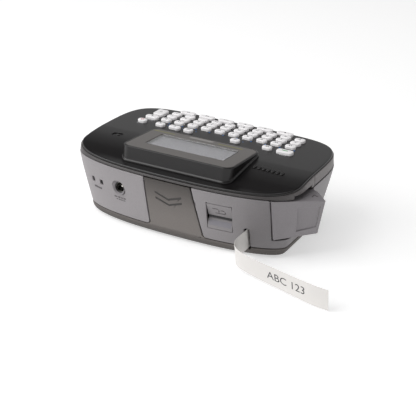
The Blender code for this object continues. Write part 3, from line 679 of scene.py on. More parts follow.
class Finishes:
    """Every finish of the label maker, made once."""

    def __init__(self) -> None:
        """Make the materials."""
        # ABS, spark-eroded mould: pale grey with a soft, even sheen. Painted shade darkens it towards -X,
        # most of all round the corner near x = -84.
        self.casing = MouldedPlastic("abs_pale_grey_textured", "8F8B8D", 0.48, painted_shade_axis="X",
                                     painted_shade_stops=((-104.0, 0.8), (-84.0, 0.66), (-60.0, 0.74), (-20.0, 0.88),
                                           (40.0, 0.95))).make()
        # The same plastic in a warmer, darker grey. Painted shade darkens it towards its underside and
        # towards the top of its tongue.
        self.cover = MouldedPlastic("abs_warm_grey_textured", "77726F", 0.55, specular=0.2, painted_shade_axis="Z",
                                    painted_shade_stops=((0.0, 0.3), (7.0, 0.6), (10.0, 0.95), (22.0, 0.92), (34.0, 0.8),
                                          (56.0, 0.34))).make()
        self.lever = MouldedPlastic("abs_lever_grey_textured", "848083", 0.5).make()
        # Painted shade: the band is darkened towards the rear, where the deck's rim overhangs it.
        self.band = MouldedPlastic("abs_band_grey_textured", "6C6767", 0.46, painted_shade_axis="Y",
                                   painted_shade_stops=((20.0, 1.0), (52.0, 0.33))).make()
        # ABS coloured through in charcoal; a satin mould gives it broad, soft highlights.
        self.deck = MouldedPlastic("abs_charcoal_satin", "131112", 0.3, grain_depth=0.004).make()
        # The same plastic where the mould is polished, so raised details catch the light.
        self.deck_gloss = MouldedPlastic("abs_charcoal_polished", "171516", 0.16, grain_depth=0.001).make()
        # Polycarbonate panel printed grey-brown from behind, so it is smoother than the mouldings.
        self.bezel = Finish("polycarbonate_panel_grey_brown", "55504D", 0.3, ior=1.58,
                            grain_mm=1.2, grain_depth=0.002, drift=0.03).make()
        self.window = ClearAcrylic("acrylic_polished_clear", "F4F5F6", 0.04, ior=1.49).make()
        self.lcd = DisplayGlass("display_glass_grey", "C4C0C7", 0.28, ior=1.52, grain_depth=0.0).make()
        # Silicone with a printed, lacquered white top: matt with a soft bloom.
        self.key = Finish("silicone_white_lacquered", "FCFAFB", 0.42, ior=1.42,
                          grain_mm=0.8, grain_depth=0.006, drift=0.015, drift_mm=6.0).make()
        self.black = MouldedPlastic("nylon_black_moulded", "121113", 0.45).make()
        # Inks sit flush, so only their colour and a slight gloss show.
        self.ink, self.ink_white, self.ink_blue, self.ink_green, self.ink_red, self.ink_olive = (
            Finish("screen_ink_" + tint, colour, 0.4, grain_depth=0.001).make() for tint, colour in (
                ("dark_grey", "4A4A4E"), ("white", "C9CACC"), ("blue", "3F77B8"), ("green", "4FA868"),
                ("red", "C8474A"), ("yellow_green", "8F8D4C")))
        self.print_black = Finish("thermal_print_black", "38363A", 0.45, grain_depth=0.001).make()
        # Laminated polyester film: white, with a smooth and slightly glossy face.
        self.tape = Finish("laminated_film_white", "D9D6D3", 0.33, ior=1.57, grain_mm=2.5,
                           grain_depth=0.003, drift=0.012, drift_mm=20.0).make()
        self.lip = Finish("acetal_lip_cool_grey", "7B797F", 0.32, ior=1.48, grain_depth=0.004).make()
        self.steel = BrushedMetal("steel_rolled", "B4B6B8", 0.32, 1.0, grain_mm=0.8, grain_depth=0.004).make()
        self.nickel = BrushedMetal("brass_nickel_plated", "D8D6D0", 0.18, 1.0, grain_mm=0.6,
                                   grain_depth=0.001).make()
        self.brass = BrushedMetal("brass_sheet", "B8934A", 0.3, 1.0, grain_mm=0.8, grain_depth=0.004).make()
        # Moulded marks are painted darker than the wall round them, as painted shade standing in for the
        # shade at their edges.
        self.relief = MouldedPlastic("abs_mark_grey_textured", "565254", 0.5).make()
        # Painted shade: a dark grey laid in the bottom of the chevron grooves so that they read dark.
        self.inlay = MouldedPlastic("abs_inlay_dark_grey", "2F2C2B", 0.5).make()
        self.panel_tab = Finish("polycarbonate_panel_pale_grey", "8A8683", 0.3, ior=1.58, grain_mm=1.2,
                                grain_depth=0.002, drift=0.03).make()
        self.rubber = Finish("rubber_moulded_dark", "1C1B1C", 0.8, ior=1.52, grain_mm=0.5,
                             grain_depth=0.03).make()
        self.board = CircuitBoard("glass_fibre_solder_mask_green", "1B5335", 0.35, grain_depth=0.004).make()
        self.acetal = Finish("acetal_natural_moulded", "E3DFD2", 0.38, ior=1.48, grain_depth=0.005).make()
        self.spool = Finish("polystyrene_spool_white", "D3D1CC", 0.45, ior=1.59).make()
        self.cassette = MouldedPlastic("polystyrene_cassette_grey", "55585D", 0.35).make()
        self.jacket = Finish("steel_can_printed_blue", "31465C", 0.3, ior=1.5, drift=0.1,
                             drift_mm=12.0, coat=0.4).make()


# ------------------------------------------------------------------ shape of the body


@dataclass(frozen=True)
class Outline:
    """Plan outline of the body: two superellipse halves that meet at the widest line."""

    half_width: float = 101.3
    centre_x: float = -1.5
    widest_y: float = 28.56
    rear_reach: float = 34.85
    rear_power: float = 2.59
    front_reach: float = 91.96
    front_power: float = 5.82
    points: int = 320
    fine: int = 4800
    parting: float = 54.4
    lid_line: float = 9.2
    taper_depth: float = 10.0
    taper_power: float = 1.15

    def spots(self) -> list[tuple[Vector, Vector]]:
        """Evenly spaced points with their outward normals."""
        dense = []
        for k in range(self.fine):
            angle = math.tau * k / self.fine
            c, s = math.cos(angle), math.sin(angle)
            rear = s > 0
            reach = self.rear_reach if rear else self.front_reach
            power = self.rear_power if rear else self.front_power
            radius = (abs(c / self.half_width) ** power + abs(s / reach) ** power) ** (-1 / power)
            dense.append(Vector((radius * c + self.centre_x, radius * s + self.widest_y)))
        along = [0.0]
        for k in range(self.fine):
            along.append(along[-1] + (dense[(k + 1) % self.fine] - dense[k]).length)
        found, k = [], 0
        for i in range(self.points):
            target = along[-1] * i / self.points
            while along[k + 1] < target:
                k += 1
            share = (target - along[k]) / (along[k + 1] - along[k])
            found.append(dense[k].lerp(dense[(k + 1) % self.fine], share))
        result = []
        for i, point in enumerate(found):
            tangent = found[(i + 1) % self.points] - found[i - 1]
            result.append((point, Vector((tangent.y, -tangent.x)).normalized()))
        return result

    def taper(self, z: float) -> float:
        """How far the side wall lies inside the outline at a height."""
        share = max(0.0, (self.parting - z) / (self.parting - self.lid_line))
        return self.taper_depth * share ** self.taper_power

    def rear_y(self, x: float, z: float) -> float:
        """Rear face of the wall near the middle of the rear."""
        across = abs((x - self.centre_x) / self.half_width)
        share = (1 - across ** self.rear_power) ** (1 / self.rear_power)
        return self.widest_y + self.rear_reach * share - self.taper(z)

    def on_rear(self, x: float, z: float, leaning: bool = True) -> Matrix:
        """Place on the rear wall, with local Y outwards and Z up along the wall.

        Args:
            x: Place across the wall.
            z: Height.
            leaning: True follows the wall's lean, False stays upright.

        Returns:
            The matrix, in millimetres.
        """
        slope = (self.rear_y(x + 1, z) - self.rear_y(x - 1, z)) / 2
        lean = (self.rear_y(x, z + 1) - self.rear_y(x, z - 1)) / 2 if leaning else 0.0
        return (Matrix.Translation((x, self.rear_y(x, z), z))
                @ Matrix.Rotation(math.atan(slope), 4, "Z") @ Matrix.Rotation(-math.atan(lean), 4, "X"))


SHAPE = Outline()
SPOTS = SHAPE.spots()


def ring(inset: float, level: Level) -> Ring:
    """The outline moved inwards, at a level."""
    return at_level([tuple(point - normal * inset) for point, normal in SPOTS], level)


@dataclass(frozen=True)
class DeckProfile:
    """Height of the deck from front to rear: flat, then a smooth fall behind the crease."""

    stations: tuple[tuple[float, float], ...] = (
        (6.5, 65.2), (22.0, 64.4), (36.0, 62.7), (45.0, 60.9), (51.0, 59.5), (57.0, 58.9), (63.4, 58.8))
    crease_slope: float = -0.035

    def height(self, y: float) -> float:
        """Top of the deck at y."""
        first, last = self.stations[0], self.stations[-1]
        if y <= first[0]:
            return first[1]
        if y >= last[0]:
            return last[1]
        slopes = [self.crease_slope]
        for (y0, z0), (y2, z2) in zip(self.stations, self.stations[2:]):
            slopes.append((z2 - z0) / (y2 - y0))
        slopes.append(0.0)
        spans = zip(self.stations, self.stations[1:], slopes, slopes[1:])
        (y0, z0), (y1, z1), m0, m1 = next(span for span in spans if y <= span[1][0])
        width = y1 - y0
        t = (y - y0) / width
        return ((2 * t ** 3 - 3 * t * t + 1) * z0 + (t ** 3 - 2 * t * t + t) * width * m0
                + (3 * t * t - 2 * t ** 3) * z1 + (t ** 3 - t * t) * width * m1)


DECK = DeckProfile()


# ------------------------------------------------------------------ casing


@dataclass
class Casing:
    """Lower casing with its openings, and the band above it."""

    finishes: Finishes
    wall: float = 2.0
    wall_steps: int = 14
    rim_round: float = 0.5
    seam_extra: float = 0.4
    strap_slots: tuple[float, float] = (67.6, 77.4)
    strap_z: float = 35.6
    strap_size: tuple[float, float] = (3.8, 4.8)
    socket_x: float = 48.5
    socket_z: float = 36.4
    socket_r: float = 6.2
    window_x: tuple[float, float] = (-54.6, -33.6)
    window_z: tuple[float, float] = (20.6, 44.0)
    slot_x: tuple[float, float] = (-68.0, -63.6)
    slot_z: tuple[float, float] = (6.6, 26.6)
    tongue_top: tuple[float, float] = (-20.2, 22.1)
    tongue_low: tuple[float, float] = (-27.9, 20.9)
    tongue_corner: float = 3.2

    def tongue(self, grow: float, top: float) -> BMesh:
        """Solid through the rear wall whose outline is the tongue's, grown on its sides.

        Args:
            grow: How far the sides move out.
            top: Height of its upper end.

        Returns:
            A closed mesh.
        """
        left_low, right_low = self.tongue_low
        flare, floor = SHAPE.lid_line + self.tongue_corner, 7.0
        left, right = [], []
        for step in range(1, 9):
            angle = math.pi / 2 * step / 8
            out = grow + self.tongue_corner * (1 - math.cos(angle))
            z = flare - self.tongue_corner * math.sin(angle)
            left.append((left_low - out, z))
            right.append((right_low + out, z))
        outline = [(self.tongue_top[0] - grow, top), (left_low - grow, flare), *left, (left[-1][0], floor),
                   (right[-1][0], floor), *reversed(right), (right_low + grow, flare),
                   (self.tongue_top[1] + grow, top)]
        return extruded(outline, 20.0, 80.0)

    def wall_rings(self, low: float, high: float) -> list[Ring]:
        """Loop of rings round the section of the tapered wall, with rounded outer rims."""
        edge, steps = self.rim_round, self.wall_steps
        outer = []
        for step in range(4):
            angle = math.pi / 2 * step / 4
            outer.append((edge * (1 - math.sin(angle)), low + edge * (1 - math.cos(angle))))
        outer += [(0.0, low + edge + (high - low - 2 * edge) * k / steps) for k in range(steps + 1)]
        for step in range(1, 5):
            angle = math.pi / 2 * step / 4
            outer.append((edge * (1 - math.cos(angle)), high - edge * (1 - math.sin(angle))))
        inner = [high - (high - low) * k / steps for k in range(steps + 1)]
        return ([ring(SHAPE.taper(z) + inset, z) for inset, z in outer]
                + [ring(SHAPE.taper(z) + self.wall, z) for z in inner])

    def build(self) -> None:
        """Build the casing and the band, and dress them."""
        self.build_wall()
        self.build_band()
        self.build_slot_shade()
        self.build_marks()

    def rear_openings(self) -> BMesh:
        """Everything that is cut through the rear wall."""
        cuts = []
        middle_x, width = sum(self.slot_x) / 2, self.slot_x[1] - self.slot_x[0]
        arch = rounded_plan((middle_x, (self.slot_z[1] + SHAPE.lid_line) / 2 - 4),
                            (width, self.slot_z[1] - SHAPE.lid_line + 8), width / 2, 6)
        cuts.append(extruded(arch, 40.0, 64.0))
        for x in self.strap_slots:
            hole = rounded_plan((0, 0), self.strap_size, 0.9, 4)
            cuts.append(placed(extruded(hole, -5.0, 3.0), SHAPE.on_rear(x, self.strap_z)))
        bore = placed(rod(self.socket_r + GAP, -5.0, 6.0), Matrix.Rotation(math.pi / 2, 4, "X"))
        cuts.append(placed(bore, SHAPE.on_rear(self.socket_x, self.socket_z, False)))
        half = (self.window_x[1] - self.window_x[0]) / 2 + GAP
        middle = 30.0
        low, high = self.window_z[0] - GAP - middle, self.window_z[1] + GAP - middle
        window = box((-half, -12, low), (half, 8, high))
        cuts.append(placed(window, SHAPE.on_rear(sum(self.window_x) / 2, middle, False)))
        return gathered(cuts)

    def lever_bay(self) -> BMesh:
        """Corner space that the lever fills, down to its lower step."""
        rings = []
        for z, near, corner, deep in ((17.2, -85.1, 45.2, -80.0), (60.0, -84.1, 54.4, -78.0)):
            rings.append([Vector((x, y, z)) for x, y in
                          ((near, 70), (-130, 70), (-130, 9.4), (-88, 9.4), (deep, 30), (deep, corner - 5.0),
                           (near, corner))])
        return skin(rings)

    def build_wall(self) -> None:
        """The tapered wall, cut for the tongue, openings and lever."""
        piece = as_object("casing_wall", skin(self.wall_rings(SHAPE.lid_line, SHAPE.parting), looped=True))
        carve(piece, self.tongue(self.seam_extra, SHAPE.parting + 5))
        carve(piece, self.rear_openings())
        carve(piece, self.lever_bay())
        soften(piece, 0.4)
        settle(piece)
        # The rounding overshoots at the foot of the tape slot, so the rim is levelled at the lid line.
        for vertex in piece.data.vertices:
            vertex.co.z = max(vertex.co.z, SHAPE.lid_line * MM)
        deliver(piece, "casing", self.finishes.casing, ["main_casing"])

    def build_band(self) -> None:
        """Band between the casing and the deck, with a ledge that shows as a thin bright line."""
        def under(y: float) -> float:
            return DECK.height(y) - 1.6 - GAP
        low = SHAPE.parting + GAP
        foot, brow = ring(0.35, low + 0.7), ring(0.9, lowered(under, 0.3))
        rings = [ring(1.2, low), foot]
        for share in (0.25, 0.5, 0.75):
            rings.append([a.lerp(b, share) for a, b in zip(foot, brow)])
        rings += [brow, ring(1.25, under), ring(3.2, under), ring(2.2, low)]
        piece = as_object("upper_band", skin(rings, looped=True))
        cuts = [box((-110, 7.7, 50), (-100.75, 8.3, 70)), box((100.75, 7.7, 50), (110, 8.3, 70))]
        recess = rounded_plan((-104.0, 27.5), (20.0, 27.0), 7.0, 8)
        cuts.append(prism(recess, 50.0, 57.4))
        carve(piece, gathered(cuts))
        soften(piece, 0.25)
        deliver(piece, "casing", self.finishes.band, ["upper_frame"])

    def build_slot_shade(self) -> None:
        """Black pockets behind the strap slots, as painted shade inside them."""
        pockets = []
        for x in self.strap_slots:
            width, height = (side + 1.6 for side in self.strap_size)
            pocket = box((-width / 2, -3.4, -height / 2), (width / 2, -1.5, height / 2))
            pockets.append(placed(pocket, SHAPE.on_rear(x, self.strap_z)))
        deliver(as_object("strap_pockets", gathered(pockets)), "casing", self.finishes.black)

    def build_marks(self) -> None:
        """Moulded marks under the socket and the strap slots: plain symbols with no lettering."""
        bars = []

        def bar(x: float, z: float, width: float, height: float = 0.5) -> None:
            shape = box((-width / 2, -0.2, -height / 2), (width / 2, 0.14, height / 2))
            bars.append(placed(shape, SHAPE.on_rear(x, z)))

        for x, width in ((self.socket_x + 4.2, 3.0), (self.socket_x + 0.6, 2.2), (self.socket_x - 2.2, 1.6),
                         (self.socket_x - 4.8, 2.0)):
            bar(x, self.socket_z - 9.4, width, 1.3)
        for offset in (3.0, 0.6, -1.8, -4.2):
            bar(self.socket_x + offset, self.socket_z - 11.6, 1.7, 0.8)
        for x in (69.0, 71.3, 73.6, 75.9):
            bar(x, self.strap_z - 6.4, 1.7, 1.2)
        deliver(as_object("casing_marks", gathered(bars)), "casing", self.finishes.relief)


@dataclass
class BottomCover:
    """Battery and cassette cover: a shallow tray with a tall rear tongue and rubber feet."""

    finishes: Finishes
    casing: Casing
    underside: float = 1.1
    floor: float = 3.6
    belly_power: float = 2.1
    shadow_gap: float = 0.6
    feet: tuple[tuple[float, float], ...] = ((68.0, -30.0), (-68.0, -30.0), (62.0, 34.0), (-62.0, 34.0))

    def tray(self) -> BMesh:
        """The dished tray."""
        rim = SHAPE.lid_line - self.shadow_gap
        rings, steps = [], 12
        for k in range(steps + 1):
            angle = math.pi / 2 * k / steps
            share = 2 / self.belly_power
            inset = 16.5 - 6.4 * math.sin(angle) ** share
            z = rim - 0.3 - (rim - 0.3 - self.underside) * math.cos(angle) ** share
            rings.append(ring(inset, z))
        rings += [ring(inset, z) for inset, z in (
            (10.6, rim - 0.05), (11.2, rim), (12.1, rim), (12.6, 6.0), (15.6, self.floor))]
        return skin(rings)

    def chevrons(self, low: float, high: float, narrower: float = 0.0) -> BMesh:
        """Two bars across the tongue that point down, between two depths.

        Args:
            low: Inner face, measured outwards from the wall.
            high: Outer face.
            narrower: How much thinner than the groove each bar is.

        Returns:
            A closed mesh.
        """
        cuts = []
        half, drop, width = 12.0, 4.6, 2.0 - narrower
        for top in (42.9, 37.7):
            line = [(half, top), (0.0, top - drop), (-half, top - 0.2)]
            upper = [Vector((x, 0, z + width / 2)) for x, z in line]
            lower = [Vector((x, 0, z - width / 2)) for x, z in reversed(line)]
            outline = [(p.x, p.z) for p in upper + lower]
            middle = top - drop / 2
            shape = skin([[Vector((x, y, z - middle)) for x, z in outline] for y in (low, high)])
            cuts.append(placed(shape, SHAPE.on_rear(0.0, middle)))
        return gathered(cuts)

    def build(self) -> None:
        """Build the cover and its feet."""
        piece = as_object("cover_shell", self.tray())
        low_x, high_x = self.casing.slot_x
        carve(piece, box((low_x, 44, self.casing.slot_z[0]), (high_x, 62, 20)))
        wall = self.casing.wall_rings(SHAPE.lid_line - 1.8, SHAPE.parting - GAP)
        tongue = carve(as_object("tongue", skin(wall, looped=True)),
                       self.casing.tongue(-GAP - self.casing.seam_extra, SHAPE.parting + 4), Cut.KEEP)
        carve(tongue, self.chevrons(-1.0, 4.0))
        carve(piece, tongue, Cut.ADD)
        pad = soft_prism(lambda inset: rounded_plan((0, 0), (60 - 2 * inset, 24 - 2 * inset), 3.0, 6),
                         0.0, self.underside + 0.8, 0.4, 0.0)
        carve(piece, pad, Cut.ADD)
        grip = prism(rounded_plan((0, -46.0), (34.0, 5.0), 2.4, 6), 0.0, self.underside + 0.7)
        carve(piece, grip)
        soften(piece, 0.3)
        deliver(piece, "cover", self.finishes.cover, ["bottom_cover"])
        # Painted shade: dark bars in the bottom of the chevron grooves.
        inlay = self.chevrons(-0.95, -0.35, 0.1)
        deliver(as_object("chevron_inlay", inlay), "cover", self.finishes.inlay)
        for index, (x, y) in enumerate(self.feet, 1):
            top = self.underside - GAP
            profile = [(0.0, 0.0), (4.1, 0.0), (4.5, 0.12), (4.7, 0.4), (4.9, top), (0.0, top)]
            foot = placed(turned(profile), shifted(x, y))
            deliver(as_object(f"rubber_pad_{index}", foot), "cover", self.finishes.rubber,
                    [f"rubber_foot_{index}"])


# ------------------------------------------------------------------ keyboard and deck


@dataclass(frozen=True)
class Key:
    """One key: its place in plan, its size and the mark on it."""

    name: str
    centre: tuple[float, float]
    size: tuple[float, float]
    mark: str = ""


@dataclass
class Keyboard:
    """The keys, their marks, and the deck that they stand in."""

    finishes: Finishes
    pitch: float = 13.16
    first_x: float = 55.1
    small: tuple[float, float] = (9.4, 6.0)
    corner: float = 2.5
    top: float = 67.5
    rows: tuple[float, float, float] = (-31.4, -40.6, -48.6)
    row_functions: float = -19.4
    row_bottom: float = -56.3
    stagger: float = 0.04

    def column(self, place: float) -> float:
        """X of a column."""
        return self.first_x - self.pitch * place

    def letters(self) -> list[Key]:
        """The thirty small keys of the mat."""
        rows = ("POIUYTREWQ", "-LKJHGFDSA", "?.,MNBVCXZ")
        return [Key(f"letter_{row}_{index}", (self.column(index + self.stagger * row), y), self.small, mark)
                for row, (y, marks) in enumerate(zip(self.rows, rows)) for index, mark in enumerate(marks)]

    def caps(self) -> list[Key]:
        """The fifteen keys that are caps of their own."""
        middle = (self.rows[1] + self.rows[2]) / 2
        keys = [Key("key_power", (self.column(-1.33), self.row_functions - 0.6), (8.2, 5.8), "power"),
                Key("key_print", (self.column(9.05), self.row_functions + 1.0), (14.4, 7.0), "bar"),
                Key("key_shift", (self.column(-1.08), self.rows[0]), (12.4, 6.4), "up"),
                Key("key_code", (self.column(-1.0), middle), (10.4, 13.4), "ring")]
        for word, place, width, mark in (("home", 0.07, 8.6, "up"), ("escape", 1.15, 10.8, "left"),
                                         ("menu", 2.16, 8.6, "lines"), ("size", 5.55, 8.6, "ring"),
                                         ("style", 7.8, 8.6, "lines")):
            keys.append(Key("key_" + word, (self.column(place), self.row_functions), (width, 6.0), mark))
        bottom = (("symbol", "ring"), ("accent", "lines"), ("space", "bar"), ("left", "left"),
                  ("right", "right"), ("enter", "left"))
        for index, (word, mark) in enumerate(bottom):
            centre = (self.column(0.62 + 1.43 * index), self.row_bottom)
            keys.append(Key("key_" + word, centre, (15.0, 5.6), mark))
        return keys

    def cap(self, key: Key, low: float) -> BMesh:
        """A cap with a crowned, well-rounded top."""
        plan_at = shrinking(key.centre, key.size, self.corner, 5)
        rings = [at_level(plan_at(0.0), low), at_level(plan_at(0.0), self.top - 1.05)]
        for inset, drop in ((0.06, 0.72), (0.24, 0.42), (0.52, 0.2), (0.95, 0.07), (1.5, 0.0)):
            rings.append(at_level(plan_at(inset), self.top - drop))
        return skin(rings)

    def build(self) -> None:
        """Build the mat with its keys, and the separate caps."""
        mat_low, mat_high, margin = 61.3, 62.5, 6.4
        low_x, high_x = self.column(9) - margin, self.column(0) + margin
        mat = as_object("key_membrane", box((low_x, self.rows[2] - 4, mat_low),
                                            (high_x, self.rows[0] + 4, mat_high)))
        carve(mat, gathered(self.cap(key, mat_low + 0.4) for key in self.letters()), Cut.ADD)
        deliver(mat, "casing", self.finishes.key, ["key_mat"], 50)
        letters = [self.glyph(key.mark, key.centre, 2.7) for key in self.letters()]
        self.mark_piece("letter_marks", letters, "casing", self.finishes.ink)
        for key in self.caps():
            flange = rounded_plan(key.centre, (key.size[0] + 1.2, key.size[1] + 1.2), self.corner, 5)
            cap = as_object("cap_" + key.name[4:], self.cap(key, 62.4))
            carve(cap, prism(flange, 61.6, 62.7), Cut.ADD)
            deliver(cap, key.name, self.finishes.key, [key.name], 50)
            ink = {"key_print": self.finishes.ink_green, "key_power": self.finishes.ink_red}
            self.mark_piece("mark_" + key.name[4:], self.symbol(key), key.name,
                            ink.get(key.name, self.finishes.ink))

    def mark_piece(self, name: str, parts: Iterable[BMesh], body: str, material: Material) -> None:
        """Deliver printed marks as one thin piece."""
        deliver(as_object(name, gathered(parts)), body, material, (), 30)

    def glyph(self, letter: str, centre: tuple[float, float], height: float) -> BMesh:
        """One letter, upright for the user, on the crown of a key."""
        letters = lettering(letter, height * 1.4, 0.03, 2, "CENTER")
        return placed(letters, Matrix.Translation((*centre, self.top + 0.01)))

    def symbol(self, key: Key) -> list[BMesh]:
        """The plain symbol on a separate cap."""
        x, y = key.centre
        low, high = self.top - 0.03, self.top + 0.04

        def bar(dx: float, dy: float, width: float, depth: float, turn: float = 0.0) -> BMesh:
            shape = box((-width / 2, -depth / 2, low), (width / 2, depth / 2, high))
            return placed(shape, shifted(x + dx, y + dy, 0.0, turn))

        def loop(radius: float) -> BMesh:
            inner = radius - 0.35
            profile = [(radius, low), (radius, high), (inner, high), (inner, low), (radius, low)]
            return placed(turned(profile, 24), shifted(x, y))

        if key.mark == "power":
            return [loop(1.5), bar(0, 1.3, 0.4, 1.6)]
        if key.mark == "ring":
            return [loop(1.2)]
        if key.mark == "bar":
            return [bar(0, 0, 5.2, 1.3)] if key.name == "key_print" else [bar(0, -0.4, 5.0, 0.4)]
        if key.mark == "lines":
            return [bar(0, dy, 3.4, 0.35) for dy in (-0.9, 0.0, 0.9)]
        turn = {"up": 0.0, "left": 90.0, "right": -90.0}[key.mark]
        arrow = rod(1.3, low, high, 3)
        bmesh.ops.rotate(arrow, verts=arrow.verts[:], matrix=Matrix.Rotation(math.pi / 2, 3, "Z"))
        return [placed(arrow, shifted(x, y, 0.0, turn))]


@dataclass
class Deck:
    """Charcoal deck: a sheet that follows the deck profile, rounded over at its rim."""

    finishes: Finishes
    keyboard: Keyboard
    inset: float = 1.9
    thickness: float = 1.6
    rim_round: float = 1.1
    spine_half: float = 62.0
    spine_y: float = 1.0

    def toward_spine(self, inset: float, share: float, drop: float) -> Ring:
        """A ring part of the way from the rim to the deck's middle line."""
        found = []
        for point, normal in SPOTS:
            rim = point - normal * inset
            target = Vector((max(-self.spine_half, min(self.spine_half, rim.x)), self.spine_y))
            spot = rim.lerp(target, share)
            found.append(Vector((spot.x, spot.y, -drop)))
        return found

    def sheet(self) -> BMesh:
        """The sheet, drawn flat and then bent to the profile."""
        shares = (0.985, 0.8, 0.6, 0.4, 0.22, 0.1)
        inset = self.inset + self.rim_round
        rings = [self.toward_spine(inset, share, 0.0) for share in shares]
        for step in range(6):
            angle = math.pi / 2 * (1 - step / 5)
            rings.append(ring(self.inset + self.rim_round * (1 - math.cos(angle)),
                              -self.rim_round * (1 - math.sin(angle))))
        rings.append(ring(self.inset, -self.thickness + 0.15))
        rings.append(ring(self.inset + 0.15, -self.thickness))
        rings += [self.toward_spine(inset, share, self.thickness) for share in reversed(shares)]
        bm = skin(rings)
        cuts = [6.5 + 1.9 * k for k in range(31)]
        for y in cuts:
            geometry = bm.verts[:] + bm.edges[:] + bm.faces[:]
            bmesh.ops.bisect_plane(bm, geom=geometry, dist=1e-5, plane_co=(0, y, 0), plane_no=(0, 1, 0))
        for vert in bm.verts:
            vert.co.z += DECK.height(vert.co.y)
        return bm

    def key_holes(self) -> BMesh:
        """Holes for every key, flared a little at the top."""
        holes = []
        for key in self.keyboard.letters() + self.keyboard.caps():
            plan_at = shrinking(key.centre, key.size, self.keyboard.corner, 5)
            holes.append(skin([at_level(plan_at(-extra), z)
                               for extra, z in ((0.35, 55.0), (0.35, 64.9), (0.65, 65.2), (0.65, 72.0))]))
        return gathered(holes)

    def build(self) -> None:
        """Build the deck, its recess, its raised strip and its prints."""
        piece = as_object("deck_plate", self.sheet())
        carve(piece, self.key_holes())
        mark_place = self.on_deck(74.5, 17.5, 8.0)
        carve(piece, placed(prism(rounded_plan((0, 0), (9.5, 6.0), 2.0, 5), -0.6, 3.0), mark_place))
        deliver(piece, "casing", self.finishes.deck, ["top_deck"], 30)
        pips = []
        for step in range(7):
            pip_plan = shrinking((4.1 * (step - 3), 0), (2.9, 4.6), 1.1, 5)
            pips.append(soft_prism(pip_plan, -0.4, 0.7, 0.0, 0.35))
        raised = as_object("deck_pips", placed(gathered(pips), self.on_deck(-67.5, 20.5, -3.0)))
        deliver(raised, "casing", self.finishes.deck_gloss)
        knob = soft_prism(shrinking((0, 0), (3.6, 3.6), 1.8, 8), -0.8, -0.1, 0.0, 0.3)
        stud = as_object("deck_stud", placed(knob, mark_place))
        deliver(stud, "casing", self.finishes.deck_gloss)
        self.build_prints()

    def on_deck(self, x: float, y: float, turn: float) -> Matrix:
        """Place on the deck's surface, following its fall."""
        slope = (DECK.height(y + 1) - DECK.height(y - 1)) / 2
        return (Matrix.Translation((x, y, DECK.height(y))) @ Matrix.Rotation(math.atan(slope), 4, "X")
                @ Matrix.Rotation(math.radians(turn), 4, "Z"))

    def build_prints(self) -> None:
        """Small printed marks beside the keys."""
        low, high = 65.15, 65.24
        blue, white = [], []
        for key in self.keyboard.letters():
            if key.centre[1] == self.keyboard.rows[0]:
                x, y = key.centre[0] - 5.2, key.centre[1] + 4.3
                blue.append(prism(rounded_plan((x, y), (1.6, 1.1), 0.3, 2), low, high))
        for key in self.keyboard.caps():
            x, y = key.centre
            if key.name in ("key_print", "key_power", "key_shift"):
                for dx in (-2.4, -0.8, 0.8, 2.4):
                    white.append(prism(rounded_plan((x + dx, y + key.size[1] / 2 + 1.6), (1.1, 0.9), 0.2, 2),
                                       low, high))
            if key.name in ("key_escape", "key_home", "key_menu", "key_size"):
                blue.append(prism(rounded_plan((x - 5.9, y - 2.9), (1.3, 0.9), 0.3, 2), low, high))
        self.keyboard.mark_piece("deck_prints_blue", blue, "casing", self.finishes.ink_blue)
        self.keyboard.mark_piece("deck_prints_white", white, "casing", self.finishes.ink_white)


# ------------------------------------------------------------------ display


